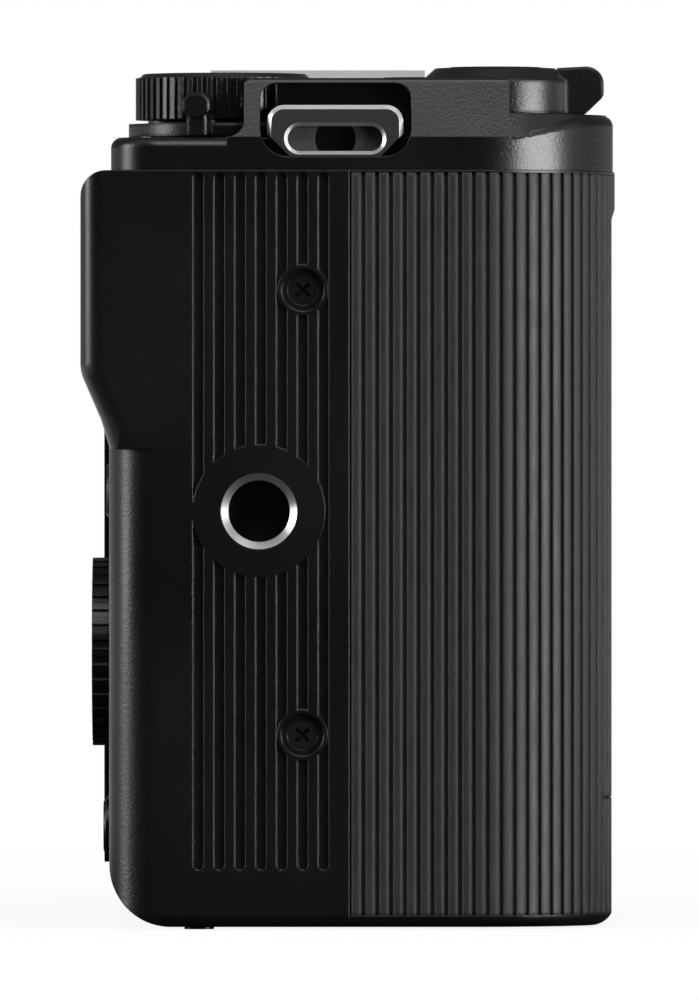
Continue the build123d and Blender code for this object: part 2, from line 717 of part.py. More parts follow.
# Front cover
front = shell & in_front(COVER_SPLIT_Y)
rubber_zone = block(
    GRIP_SIDE_X - PAST, RUBBER_END_X, GRIP_FRONT_Y - PAST, COVER_SPLIT_Y + PAST, RUBBER_LOW_Z, RUBBER_TOP_Z)
front -= rubber_zone - slab_z(plan_face(RUBBER_T), BASE_Z, SPLIT_Z + PAST)
tongue = block(TONGUE_X, TONGUE_X + TONGUE_T, TONGUE_Y0, TONGUE_Y1, TONGUE_Z0, TONGUE_Z1)
bush_boss_r = BUSH_FLANGE_R + BUSH_BOSS_WALL
tongue -= rod_x(GRIP_SIDE_X, TONGUE_X + FAR, 0, SIDE_THREAD_Z, bush_boss_r + 0.4)
front += tongue
for y, z in SIDE_SCREW_YZ:
    front -= rod_x(TONGUE_X - PAST, TONGUE_X + TONGUE_T + PAST, y, z, SCREW_SHANK_R + FIT_GAP)
front += rod_y(0, OPTICAL_Z, BOSS_FRONT_Y, FRONT_Y + BOSS_ROOT, BOSS_R)
front -= rod_y(0, OPTICAL_Z, BOSS_FRONT_Y - PAST, FRONT_Y + WALL + FAR, THROAT_R + BOSS_BORE_GAP)
front_wall_end = FRONT_Y + WALL + 2 * PAST
for angle in MOUNT_SCREW_ANGLES:
    x, z = on_mount(angle)
    front -= rod_y(x, z, BOSS_FRONT_Y - PAST, front_wall_end, SCREW_SHANK_R + SEAT_GAP)
front -= rod_y(lock_x, lock_z, BOSS_FRONT_Y - PAST, front_wall_end, LOCK_PIN_R + SMALL_GAP)
front -= rod_y(*RELEASE_XZ, FRONT_Y - PAST, front_wall_end, RELEASE_R + SMALL_GAP)
front -= rod_y(*FRONT_RECORD_XZ, FRONT_Y - PAST, front_wall_end, FRONT_RECORD_R + SMALL_GAP)
front -= rod_y(*TALLY_XZ, FRONT_Y - PAST, FRONT_Y + TALLY_T, TALLY_R)
for x, y in BASE_SCREW_XY:
    front -= rod_z(x, y, BASE_Z, BASE_Z + BASE_SCREW_ROOM, SCREW_SHANK_R)
nodes["front_cover"] = front


def flute_cutters():
    """Upright grooves, evenly spaced along the outline of the grip."""
    cutters = []
    side = sorted(
        [e for e in plan_face().edges() if e.center().X < GRIP_ROOT_X and e.center().Y < BLOCK_REAR_Y + FAR],
        key=lambda e: -e.center().Y if e.center().X < GRIP_SIDE_X + FAR else 100 + e.center().X)
    distance = 0.0
    for index, edge in enumerate(side):
        a, b = edge @ 0, edge @ 1
        flip = a.Y < b.Y if edge.center().X < GRIP_SIDE_X + FAR else a.X > b.X
        start = max(a.Y, b.Y) - COVER_SPLIT_Y if index == 0 else 0.0
        run = start + (FLUTE_PITCH - distance % FLUTE_PITCH) % FLUTE_PITCH
        while run < edge.length:
            share = 1 - run / edge.length if flip else run / edge.length
            place = edge @ share
            heading = edge % share
            turn = math.degrees(math.atan2(heading.Y, heading.X))
            depth = FLUTE_DEPTH + max(0.0, GRIP_FRONT_Y + LIP_T - place.Y)
            cutters.append(Pos(place.X, place.Y) * Rot(0, 0, turn) * Rectangle(FLUTE_W, 2 * depth))
            run += FLUTE_PITCH
        distance += edge.length - start
    return cutters


# Rubber grip: flutes all round, a lip along the top of its front and a seam low down
rubber = outer - slab_z(plan_face(RUBBER_T), -PAST, SPLIT_Z + PAST)
rubber &= block(
    GRIP_SIDE_X - PAST, RUBBER_END_X, GRIP_FRONT_Y - PAST, COVER_SPLIT_Y - RUBBER_EDGE_GAP,
    RUBBER_LOW_Z + FIT_GAP, RUBBER_TOP_Z)
lip_z = RUBBER_TOP_Z - LIP_H
lip_cut = make_face(Polyline(
    (GRIP_FRONT_Y - PAST, BASE_Z), (GRIP_FRONT_Y + LIP_T, BASE_Z), (GRIP_FRONT_Y + LIP_T, lip_z - LIP_SLOPE_H),
    (GRIP_FRONT_Y, lip_z), (GRIP_FRONT_Y - PAST, lip_z), close=True))
rubber -= slab_x(lip_cut, GRIP_SIDE_X - PAST, GRIP_INNER_X + PAST)
rubber -= slab_z(Sketch() + flute_cutters(), RUBBER_LOW_Z - PAST, SPLIT_Z)
seam = slab_z(plan_face() - plan_face(SEAM_DEPTH), SEAM_Z, SEAM_Z + SEAM_H)
rubber -= seam & block(
    SEAM_X, RUBBER_END_X + PAST, GRIP_FRONT_Y - PAST, GRIP_FRONT_Y + FAR, SEAM_Z, SEAM_Z + SEAM_H)
nodes["grip_rubber"] = rubber

# Rear cover with its thumb rest and monitor recess
rear = shell & behind(COVER_SPLIT_Y)
thumb_points = [
    (THUMB_ROOT_Y, THUMB_LOW_Z - THUMB_TOE),
    (REAR_Y - SMALL_GAP, THUMB_LOW_Z - THUMB_TOE),
    (THUMB_KNEE_Y, THUMB_KNEE_Z),
    (THUMB_Y, THUMB_FULL_Z),
    (THUMB_Y, SPLIT_Z + FAR),
    (THUMB_ROOT_Y, SPLIT_Z + FAR),
]
thumb_face = make_face(FilletPolyline(*thumb_points, radius=THUMB_RADII, close=True))
thumb = slab_x(thumb_face, GRIP_SIDE_X, THUMB_END_X)
thumb_rim = [
    edge for edge in thumb.faces().sort_by(Axis.X)[0].edges() + thumb.faces().sort_by(Axis.X)[-1].edges()
    if edge.center().Y > REAR_Y - PAST and edge.bounding_box().size.Z > SMALL_GAP]
thumb = fillet(thumb_rim, THUMB_EDGE_R)


def thumb_outline(z, back_y):
    """The outline that blends the thumb rest into the corner of the cover."""
    return Pos(0, 0, z) * rounded(GRIP_SIDE_X, THUMB_END_X, REAR_Y - 3 * FAR, back_y, REAR_CORNER_R)


ramp_top_z = THUMB_RAMP_Z + THUMB_RAMP_H
ramp_top = thumb_outline(ramp_top_z, REAR_Y + THUMB_RAMP_RUN)
ramp = loft([thumb_outline(THUMB_RAMP_Z, REAR_Y), ramp_top], ruled=True)
ramp += extrude(ramp_top, SPLIT_Z + PAST - ramp_top_z)
thumb_side = make_face(FilletPolyline(
    (THUMB_ROOT_Y, THUMB_RAMP_Z), (THUMB_Y, THUMB_RAMP_Z), (THUMB_Y, SPLIT_Z), (THUMB_ROOT_Y, SPLIT_Z),
    radius=[0, 0, THUMB_TOP_R, 0], close=True))
thumb = thumb & ramp & slab_x(thumb_side, GRIP_SIDE_X, THUMB_END_X)
rear += thumb - cavity
recess_back = block(
    MON_X0 - 3 * PAST, LEFT_SIDE_X - PAST, RECESS_Y - WALL, REAR_Y - PAST,
    RECESS_Z0 - 2 * PAST, RECESS_Z1 + 2 * PAST)
rear += recess_back & body_solid(PAST)
rear -= block(MON_X0 - MON_GAP, LEFT_SIDE_X + FAR, RECESS_Y, REAR_Y + FAR, RECESS_Z0, RECESS_Z1)

# Ribs of the side panel, kept clear of the thread and the screws
groove_mid = (GROOVE_LOW_Z + GROOVE_TOP_Z) / 2
groove_run = GROOVE_TOP_Z - GROOVE_LOW_Z - GROOVE_W
groove_face = Sketch()
for i in range(GROOVE_COUNT):
    groove_y = GROOVE_FIRST_Y - i * GROOVE_PITCH
    groove_face += Pos(groove_y, groove_mid) * SlotCenterToCenter(groove_run, GROOVE_W, rotation=90)
groove_face -= Pos(0, SIDE_THREAD_Z) * Circle(THREAD_CLEAR_R)
for y, z in SIDE_SCREW_YZ:
    groove_face -= Pos(y, z) * Circle(SCREW_CLEAR_R)
rear -= slab_x(groove_face, GRIP_SIDE_X, GRIP_SIDE_X + GROOVE_DEPTH)

# Seats of the side bush and the side screws
bush_seat_x = GRIP_SIDE_X + BUSH_NECK
rear += rod_x(
    GRIP_SIDE_X + WALL - RUN_GAP, GRIP_SIDE_X + THREAD_DEPTH + BUSH_FLOOR, 0, SIDE_THREAD_Z, bush_boss_r)
rear -= rod_x(GRIP_SIDE_X - PAST, bush_seat_x, 0, SIDE_THREAD_Z, BUSH_MOUTH_R + PRESS_GAP)
rear -= rod_x(bush_seat_x, bush_seat_x + THREAD_DEPTH + FAR, 0, SIDE_THREAD_Z, BUSH_FLANGE_R + PRESS_GAP)
head_seat_x = GRIP_SIDE_X + SCREW_RECESS_DEPTH
for y, z in SIDE_SCREW_YZ:
    rear -= rod_x(GRIP_SIDE_X - PAST, head_seat_x, y, z, SCREW_RECESS_R)
    rear -= rod_x(GRIP_SIDE_X, head_seat_x + SCREW_HEAD_T, y, z, SCREW_HEAD_R + PRESS_GAP)
    rear -= rod_x(GRIP_SIDE_X, head_seat_x + SIDE_SCREW_L + PAST, y, z, SCREW_SHANK_R + SEAT_GAP)

# Rear dial pocket, button bores, screw holes and the room for the battery lock
rear -= rod_y(REAR_DIAL_X, REAR_DIAL_Z, REAR_POCKET_Y, REAR_Y + PAST, REAR_DIAL_R + RUN_GAP)
rear -= rod_y(REAR_DIAL_X, REAR_DIAL_Z, REAR_Y - FAR, REAR_Y + PAST, STEM_R + RUN_GAP)
for x, z in BUTTON_XZ.values():
    rear -= rod_y(x, z, REAR_Y - WALL - PAST, REAR_Y + PAST, SMALL_BUTTON_R + SMALL_GAP)
for x, y in BASE_SCREW_XY:
    rear -= rod_z(x, y, BASE_Z, BASE_Z + BASE_SCREW_ROOM, SCREW_SHANK_R)
lock_y0 = BATTERY_Y1 - BATTERY_LOCK_OVERLAP
lock_y1 = lock_y0 + BATTERY_LOCK_L
lock_z1 = BATTERY_Z0 - RUN_GAP
lock_z0 = lock_z1 - BATTERY_LOCK_T
rear -= block(
    BATTERY_LOCK_X - RUN_GAP, BATTERY_LOCK_X + BATTERY_LOCK_W + RUN_GAP,
    lock_y0 - RUN_GAP, lock_y1 + BATTERY_LOCK_TRAVEL + RUN_GAP, lock_z0 - SMALL_GAP, lock_z1 + RUN_GAP)

# Side door openings and the rooms behind them
for low, high in SIDE_DOORS_Z.values():
    opening = block(
        LEFT_SIDE_X - SIDE_DOOR_T - SMALL_GAP, LEFT_SIDE_X + PAST,
        SIDE_DOOR_Y0, SIDE_DOOR_Y1 + SIDE_DOOR_EDGE_GAP, low, high)
    opening += rod_z(SIDE_DOOR_PIN_X, SIDE_DOOR_Y0, low, high, SIDE_DOOR_PIN_R + SMALL_GAP)
    opening += block(
        SIDE_DOOR_PIN_X, LEFT_SIDE_X + PAST, SIDE_DOOR_Y0 - SIDE_DOOR_PIN_R - SMALL_GAP, SIDE_DOOR_Y0,
        low, high)
    opening += rod_z(
        SIDE_DOOR_PIN_X, SIDE_DOOR_Y0, low - SIDE_DOOR_TIP_L - 0.2, high + SIDE_DOOR_TIP_L + 0.2,
        SIDE_DOOR_TIP_R + SEAT_GAP)
    pocket = block(
        PORT_FLOOR_X, LEFT_SIDE_X - PAST, SIDE_DOOR_Y0 + POCKET_RIM_Y0, SIDE_DOOR_Y1 - POCKET_RIM_Y1,
        low + PAST, high - PAST)
    housing = block(
        PORT_FLOOR_X - PORT_FLOOR_T, LEFT_SIDE_X - 1.2, HOUSING_Y0, RECESS_Y - PAST,
        low - HOUSING_WALL, high + HOUSING_WALL)
    rear += housing
    rear -= opening
    rear -= pocket
rear -= in_front(COVER_SPLIT_Y)
for z in JACKS_Z:
    rear -= rod_x(PORT_FLOOR_X - 2 * PAST, PORT_FLOOR_X + PAST, PORT_Y, z, JACK_R + SEAT_GAP)
for z, length, width in PORTS:
    rim = PORT_SHELL + 0.2
    rear -= block(
        PORT_FLOOR_X - 2 * PAST, PORT_FLOOR_X + PAST, PORT_Y - width / 2 - rim, PORT_Y + width / 2 + rim,
        z - length / 2 - rim, z + length / 2 + rim)
rear += slab_z(rounded(GRIP_FOOT_X0, GRIP_FOOT_X1, FOOT_Y, FOOT_Y + FOOT_W, FOOT_R), 0, BASE_Z + PAST)
nodes["rear_cover"] = rear


def base_screw(x, y):
    return Pos(x, y, 0) * Rot(0, -90, 0) * cross_screw_x(0, 0, BASE_Z + BASE_SCREW_SINK, BASE_SCREW_L)


def mount_screw(angle):
    x, z = on_mount(angle)
    return Pos(x, 0, z) * Rot(0, 0, 90) * cross_screw_x(0, 0, FLANGE_Y + MOUNT_SCREW_SINK, MOUNT_SCREW_L)


# Screws
side_screws = [cross_screw_x(y, z, head_seat_x, SIDE_SCREW_L) for y, z in SIDE_SCREW_YZ]
base_screws = [base_screw(x, y) for x, y in BASE_SCREW_XY]
nodes["cover_screws"] = Compound(children=side_screws + base_screws)
nodes["mount_screws"] = Compound(children=[mount_screw(angle) for angle in MOUNT_SCREW_ANGLES])


def tripod_bush():
    """A blind bush along +Z from its mouth at the origin."""
    bush = rod_z(0, 0, 0, BUSH_NECK, BUSH_MOUTH_R)
    bush += rod_z(0, 0, BUSH_NECK, THREAD_DEPTH + BUSH_FLOOR, BUSH_FLANGE_R)
    bush -= rod_z(0, 0, -PAST, THREAD_DEPTH, THREAD_R)
    return bush


nodes["side_tripod_bush"] = Pos(GRIP_SIDE_X, 0, SIDE_THREAD_Z) * Rot(0, 90, 0) * tripod_bush()
nodes["base_tripod_bush"] = tripod_bush()

# Base cover with its pad and feet
base = slab_z(plan_face(BASE_RIM + SEAT_GAP), BASE_Z, BASE_Z + DOOR_T)
base &= block(BASE_X0, LEFT_SIDE_X, GRIP_FRONT_Y, REAR_Y, -PAST, BASE_Z + DOOR_T)
base &= outer
base += rod_z(0, 0, 0, BASE_Z + PAST, PAD_R)
for foot_y in (FOOT_Y, FRONT_FOOT_Y):
    base += slab_z(rounded(FOOT_X0, FOOT_X1, foot_y, foot_y + FOOT_W, FOOT_R), 0, BASE_Z + PAST)
base += rod_z(0, 0, BASE_Z, THREAD_DEPTH, BUSH_FLANGE_R + 2.0)
base -= rod_z(0, 0, -PAST, BUSH_NECK, BUSH_MOUTH_R + PRESS_GAP)
base -= rod_z(0, 0, BUSH_NECK, THREAD_DEPTH + FAR, BUSH_FLANGE_R + PRESS_GAP)
for x, y in BASE_SCREW_XY:
    base -= rod_z(x, y, -PAST, BASE_Z + BASE_SCREW_SINK + SCREW_HEAD_T, SCREW_HEAD_R + PRESS_GAP)
    base -= rod_z(x, y, -PAST, BASE_Z + BASE_SCREW_ROOM, SCREW_SHANK_R + SEAT_GAP)
nodes["base_cover"] = base

# Battery door with its hinge barrel and latch
door_top_z = BASE_Z + DOOR_T
door = block(DOOR_X0 + SMALL_GAP, HINGE_X, DOOR_Y0 + SMALL_GAP, DOOR_Y1 - SMALL_GAP, BASE_Z, door_top_z)
door &= slab_z(plan_face(DOOR_RIM + DOOR_EDGE_GAP), BASE_Z, door_top_z)
barrel_y0 = HINGE_Y0 + SMALL_GAP
barrel_y1 = DOOR_Y1 - SMALL_GAP
door -= block(HINGE_X - HINGE_RELIEF, HINGE_X + PAST, DOOR_Y0, barrel_y0, BASE_Z - PAST, door_top_z + PAST)
door += rod_y(HINGE_X, HINGE_Z, barrel_y0, barrel_y1, HINGE_R)
door -= rod_y(HINGE_X, HINGE_Z, HINGE_Y0 - PAST, DOOR_Y1 + PAST, HINGE_PIN_R + SEAT_GAP)
door &= outer
latch_x1 = LATCH_X0 + LATCH_L
latch_y = (DOOR_Y0 + DOOR_Y1) / 2
latch_z0 = BASE_Z + SMALL_GAP
door -= block(
    LATCH_X0 - LATCH_GAP, latch_x1 + LATCH_TRAVEL + LATCH_GAP, latch_y - LATCH_HALF_W - LATCH_GAP,
    latch_y + LATCH_HALF_W + LATCH_GAP, BASE_Z - PAST, latch_z0 + LATCH_T + SMALL_GAP)
nodes["battery_door"] = door
latch = block(LATCH_X0, latch_x1, latch_y - LATCH_HALF_W, latch_y + LATCH_HALF_W, latch_z0, latch_z0 + LATCH_T)
rib_half_w = LATCH_HALF_W - LATCH_RIB_INSET
for i in range(LATCH_RIBS):
    rib_x = LATCH_X0 + (i + 1) * LATCH_RIB_PITCH
    latch -= block(
        rib_x, rib_x + LATCH_RIB_W, latch_y - rib_half_w, latch_y + rib_half_w,
        BASE_Z, latch_z0 + LATCH_RIB_DEPTH)
nodes["door_latch"] = latch

# Battery box, battery and its lock
bx0 = BATTERY_X0 - BOX_GAP
bx1 = BATTERY_X1 + BOX_GAP
by0 = BATTERY_Y0 - BOX_GAP
by1 = BATTERY_Y1 + BOX_GAP
bz1 = BATTERY_Z0 + BATTERY_H + BOX_GAP
box_outer = block(bx0 - BOX_WALL, bx1 + BOX_WALL, by0 - BOX_WALL, by1 + BOX_WALL, BATTERY_Z0, bz1 + BOX_WALL)
nodes["battery_box"] = box_outer - block(bx0, bx1, by0, by1, BASE_Z, bz1)
battery_face = rounded(BATTERY_X0, BATTERY_X1, BATTERY_Y0, BATTERY_Y1, BATTERY_CORNER_R)
nodes["battery"] = slab_z(battery_face, BATTERY_Z0, BATTERY_Z0 + BATTERY_H)
nodes["battery_lock"] = block(
    BATTERY_LOCK_X, BATTERY_LOCK_X + BATTERY_LOCK_W, lock_y0, lock_y1, lock_z0, lock_z1)

# Card socket and card
card_x1 = CARD_X0 + CARD_T
card_y1 = CARD_Y0 + CARD_W
card_z1 = BATTERY_Z0 + CARD_H
socket = block(
    bx1 + BOX_WALL, card_x1 + SOCKET_WALL, CARD_Y0 - SOCKET_WALL, card_y1 + SOCKET_WALL,
    SOCKET_LOW_Z, card_z1 + 0.2 + SOCKET_ROOF)
socket -= block(
    CARD_X0 - CARD_GAP, card_x1 + CARD_GAP, CARD_Y0 - CARD_GAP, card_y1 + CARD_GAP, BASE_Z, card_z1 + 0.2)
nodes["card_socket"] = socket
card_face = make_face(Polyline(
    (CARD_Y0, BATTERY_Z0), (card_y1, BATTERY_Z0), (card_y1, card_z1 - CARD_CORNER),
    (card_y1 - CARD_CORNER, card_z1), (CARD_Y0, card_z1), close=True))
nodes["memory_card"] = slab_x(card_face, CARD_X0, card_x1)

def grip_outline(z):
    """The outline of the block's drafted wall on the grip side, at a height."""
    inset = TOP_INSET + BLOCK_DRAFT * (z - SHELF_Z) / BLOCK_H
    return Pos(0, 0, z) * rounded(
        GRIP_SIDE_X + inset, LEFT_SIDE_X + 3 * FAR, GRIP_FRONT_Y + inset, REAR_Y + 3 * FAR, GRIP_CORNER_R - inset)


# Top cover: a low band, the raised block and the front shelf under the zoom ring
band = slab_z(plan_face(TOP_INSET), SPLIT_Z, SHELF_Z)
band = fillet(band.edges().group_by(Axis.Z)[-1], BAND_EDGE_R)
wide = rounded(GRIP_SIDE_X - FAR, LEFT_SIDE_X + FAR, BLOCK_FRONT_Y, BLOCK_REAR_Y, BLOCK_REAR_R)
middle = rounded(BLOCK_STEP_X, LEFT_SIDE_X + FAR, BLOCK_REAR_Y - FAR, BLOCK_MID_REAR_Y, BLOCK_STEP_R)
raised = slab_z((wide + middle) & plan_face(TOP_INSET), SPLIT_Z, BLOCK_TOP_Z)
heel_low = BLOCK_REAR_Y - BLOCK_HEEL_R
heel = block(
    GRIP_SIDE_X - PAST, GRIP_SIDE_X + FAR, heel_low, BLOCK_REAR_Y + BLOCK_HEEL_R, SPLIT_Z, SHELF_Z + BLOCK_HEEL_R)
heel -= rod_x(
    GRIP_SIDE_X - 2 * PAST, GRIP_SIDE_X + 2 * FAR, BLOCK_REAR_Y + BLOCK_HEEL_R, SHELF_Z + BLOCK_HEEL_R, BLOCK_HEEL_R)
raised += heel & slab_z(plan_face(TOP_INSET), SPLIT_Z, BLOCK_TOP_Z)
wedge = make_face(Polyline(
    (LEFT_SIDE_X + PAST, SHELF_Z), (LEFT_SIDE_X - TOP_INSET, SHELF_Z),
    (LEFT_SIDE_X - TOP_INSET - BLOCK_DRAFT, BLOCK_TOP_Z), (LEFT_SIDE_X + PAST, BLOCK_TOP_Z), close=True))
raised -= slab_y(wedge, GRIP_FRONT_Y - PAST, REAR_Y + PAST)
drafted = loft([grip_outline(SHELF_Z), grip_outline(BLOCK_TOP_Z)], ruled=True)
raised -= block(GRIP_SIDE_X - PAST, GRIP_SIDE_X + FAR, GRIP_FRONT_Y, REAR_Y, SHELF_Z, BLOCK_TOP_Z + PAST) - drafted
raised = fillet(raised.edges().group_by(Axis.Z)[-1], BLOCK_EDGE_R)
seat_draft = BLOCK_DRAFT * (FRONT_SHELF_Z - SHELF_Z) / BLOCK_H
seat = loft([
    Pos(0, 0, SHELF_Z) * plan_face(TOP_INSET), Pos(0, 0, FRONT_SHELF_Z) * plan_face(TOP_INSET + seat_draft)],
    ruled=True)
seat &= block(
    GRIP_SIDE_X, GRIP_ROOT_X + PAST, GRIP_FRONT_Y, BLOCK_FRONT_Y + PAST, SHELF_Z, FRONT_SHELF_Z)
shelf_end_y = SHELF_FRONT_Y - PAST
shelf_face = make_face(Curve() + [
    Line((shelf_end_y, SPLIT_Z), (shelf_end_y, FRONT_SHELF_Z)),
    Line((shelf_end_y, FRONT_SHELF_Z), (SWOOSH_END_Y, FRONT_SHELF_Z)),
    Bezier(
        (SWOOSH_END_Y, FRONT_SHELF_Z), (SWOOSH_END_Y + SWOOSH_END_EASE, FRONT_SHELF_Z),
        (SWOOSH_START_Y - SWOOSH_START_EASE, SHELF_Z), (SWOOSH_START_Y, SHELF_Z)),
    Line((SWOOSH_START_Y, SHELF_Z), (SWOOSH_START_Y, SPLIT_Z)),
    Line((SWOOSH_START_Y, SPLIT_Z), (shelf_end_y, SPLIT_Z)),
])
shelf_end_x = GRIP_ROOT_X + FAR - PAST
shelf = slab_x(shelf_face, GRIP_SIDE_X - PAST, shelf_end_x)
shelf &= slab_z(plan_face(TOP_INSET), SPLIT_Z, FRONT_SHELF_Z + PAST)
shelf_rim = [
    edge for edge in shelf.edges()
    if edge.bounding_box().min.Z > SHELF_Z - SMALL_GAP and edge.center().Y < SWOOSH_START_Y - SMALL_GAP
    and edge.length > SMALL_GAP and edge.center().X < shelf_end_x - SMALL_GAP
    and abs(edge.center().Y - SWOOSH_END_Y) > FIT_GAP]
shelf = fillet(shelf_rim, BAND_EDGE_R)
top = band + raised + shelf + seat

# Room inside the top cover
top -= slab_z(plan_face(GRIP_WALL), SPLIT_Z - PAST, SHELF_Z - TOP_SKIN)
room_top_z = MODE_FLOOR_Z - TOP_SKIN
top -= block(ROOM_X0, ROOM_X1, BLOCK_FRONT_Y + 2.0, BLOCK_MID_REAR_Y - 2.0, SPLIT_Z - PAST, room_top_z)

# Pockets for dials, ring, shoe and buttons
above = BLOCK_TOP_Z + PAST
below = SPLIT_Z - PAST
top -= rod_z(DIAL_X, DIAL_Y, below, BLOCK_TOP_Z, DIAL_SHAFT_R + SEAT_GAP)
top -= rod_z(MODE_X, MODE_Y, MODE_FLOOR_Z, above, MODE_R + RUN_GAP)
top -= rod_z(MODE_X, MODE_Y, below, BLOCK_TOP_Z, DIAL_SHAFT_R + SEAT_GAP)
top -= block(
    MODE_X - MODE_WINDOW_HALF, MODE_X + MODE_WINDOW_HALF, MODE_Y, BLOCK_MID_REAR_Y + PAST, MODE_FLOOR_Z, above)
top -= rod_z(ZOOM_X, ZOOM_Y, FRONT_SHELF_Z + SMALL_GAP, above, ZOOM_R + ZOOM_POCKET_GAP)
top -= rod_z(ZOOM_X, ZOOM_Y, below, BLOCK_TOP_Z, STEM_R + SMALL_GAP)
top -= rod_z(RECORD_X, RECORD_Y, below, above, RECORD_R + SMALL_GAP)
top -= block(
    -SHOE_HALF_W - SEAT_GAP, SHOE_HALF_W + SEAT_GAP, SHOE_FRONT_Y - SEAT_GAP, BLOCK_MID_REAR_Y + PAST,
    SHOE_RECESS_Z, above)
top -= rod_y(0, OPTICAL_Z, GRIP_FRONT_Y - FAR, FRONT_Y + 8 * PAST, BOSS_R + SMALL_GAP)


def along_x(side_x, sign, near, far, y0, y1, z0, z1):
    """A box given by its depths into the body from one of its sides."""
    ends = sorted((side_x + sign * near, side_x + sign * far))
    return block(*ends, y0, y1, z0, z1)


def peg_rod(side_x, sign, near, far, y, r):
    ends = sorted((side_x + sign * near, side_x + sign * far))
    return rod_x(*ends, y, LUG_PEG_Z, r)


# Recesses of the strap lugs, with walls round them inside the cover
lug_peg_ys = (LUG_Y0 + LUG_PEG_INSET, LUG_Y1 - LUG_PEG_INSET)
recess_face = make_face(FilletPolyline(
    (LUG_REC_Y0, LUG_REC_Z0), (LUG_REC_Y1, LUG_REC_Z0), (LUG_REC_Y1, LUG_REC_Z1), (LUG_REC_Y0, LUG_REC_Z1),
    radius=LUG_REC_RADII, close=True))
for side_x, sign in SIDES:
    top += along_x(
        side_x, sign, TOP_INSET + BLOCK_DRAFT - SEAT_GAP, LUG_REC_DEPTH + LUG_REC_WALL,
        LUG_REC_Y0 - LUG_REC_WALL, LUG_REC_Y1 + PAST, SPLIT_Z, BLOCK_TOP_Z - PAST)
    recess_ends = sorted((side_x - sign * PAST, side_x + sign * LUG_REC_DEPTH))
    top -= slab_x(recess_face, *recess_ends)
    for y in lug_peg_ys:
        top -= peg_rod(side_x, sign, 0, LUG_PEG_END + SMALL_GAP, y, LUG_PEG_R + PRESS_GAP)
top -= rod_z(DIAL_X, DIAL_Y, SHELF_Z, above, LEVER_R + DIAL_POCKET_GAP)
nodes["top_cover"] = top


lug_face = make_face(FilletPolyline(
    (LUG_Y0 + LUG_CUT, LUG_Z0), (LUG_Y1 - LUG_CUT, LUG_Z0), (LUG_Y1, LUG_Z0 + LUG_CUT), (LUG_Y1, LUG_Z1),
    (LUG_Y0, LUG_Z1), (LUG_Y0, LUG_Z0 + LUG_CUT), radius=[0, 0, 0, LUG_CORNER_R, LUG_CORNER_R, 0], close=True))


def strap_lug(side_x, sign):
    """A pressed steel loop standing on two pegs in its recess."""
    ends = sorted((side_x + sign * LUG_SET_BACK, side_x + sign * (LUG_SET_BACK + LUG_T)))
    plate = slab_x(lug_face, *ends)
    slot = rounded(LUG_SLOT_Y0, LUG_SLOT_Y1, LUG_SLOT_Z0, LUG_SLOT_Z1, LUG_SLOT_R)
    plate -= slab_x(slot, ends[0] - PAST, ends[1] + PAST)
    side = 0 if sign > 0 else -1
    slot_wire = plate.faces().sort_by(Axis.X)[side].inner_wires()[0]
    plate = chamfer(slot_wire.edges(), LUG_SLOT_EDGE)
    rim = plate.faces().sort_by(Axis.X)[side].outer_wire().edges()
    plate = chamfer([edge for edge in rim if edge.center().Z > LUG_Z0 + LUG_CUT], LUG_EDGE)
    for y in lug_peg_ys:
        plate += peg_rod(side_x, sign, LUG_SET_BACK + LUG_T, LUG_PEG_END, y, LUG_PEG_R)
    return plate


nodes["strap_lugs"] = Compound(children=[strap_lug(side_x, sign) for side_x, sign in SIDES])


def top_dial(r, ribs, rib_depth, low, top, bevel):
    """A ribbed dial with a bevelled face and its shaft."""
    dial = slab_z(knurled(r, ribs, rib_depth), low, top - bevel)
    dial += Pos(0, 0, top - bevel / 2) * Cone(r - 0.3, r - 0.3 - bevel, bevel)
    return dial + rod_z(0, 0, SHAFT_LOW_Z, low, DIAL_SHAFT_R)


# Main dial and power lever
nodes["main_dial"] = Pos(DIAL_X, DIAL_Y, 0) * top_dial(
    DIAL_R, DIAL_RIBS, DIAL_RIB_DEPTH, DIAL_LOW_Z, DIAL_TOP_Z, DIAL_BEVEL_H)
lever = rod_z(0, 0, LEVER_LOW_Z, LEVER_TOP_Z, LEVER_R)
lever -= rod_z(0, 0, LEVER_LOW_Z - PAST, LEVER_TOP_Z + PAST, DIAL_SHAFT_R + RUN_GAP)
arm_end = TAB_R1 - TAB_ARM_INSET
arm_half_w = TAB_ARM_W / 2
lever += block(LEVER_R - PAST, arm_end, -arm_half_w, arm_half_w, LEVER_LOW_Z, LEVER_TOP_Z)
lever += block(TAB_R0 + 0.2, arm_end, -arm_half_w, arm_half_w, LEVER_LOW_Z, TAB_LOW_Z + 0.4)
finger = block(TAB_R0, TAB_R1, -TAB_W / 2, TAB_W / 2, TAB_LOW_Z, TAB_TOP_Z)
lever += chamfer(finger.edges().filter_by(Axis.X), TAB_BEVEL)
nodes["power_lever"] = Pos(DIAL_X, DIAL_Y, 0) * Rot(0, 0, LEVER_ANGLE) * lever

# Mode dial
nodes["mode_dial"] = Pos(MODE_X, MODE_Y, 0) * top_dial(
    MODE_R, MODE_RIBS, MODE_RIB_DEPTH, MODE_LOW_Z, MODE_TOP_Z, MODE_BEVEL_H)

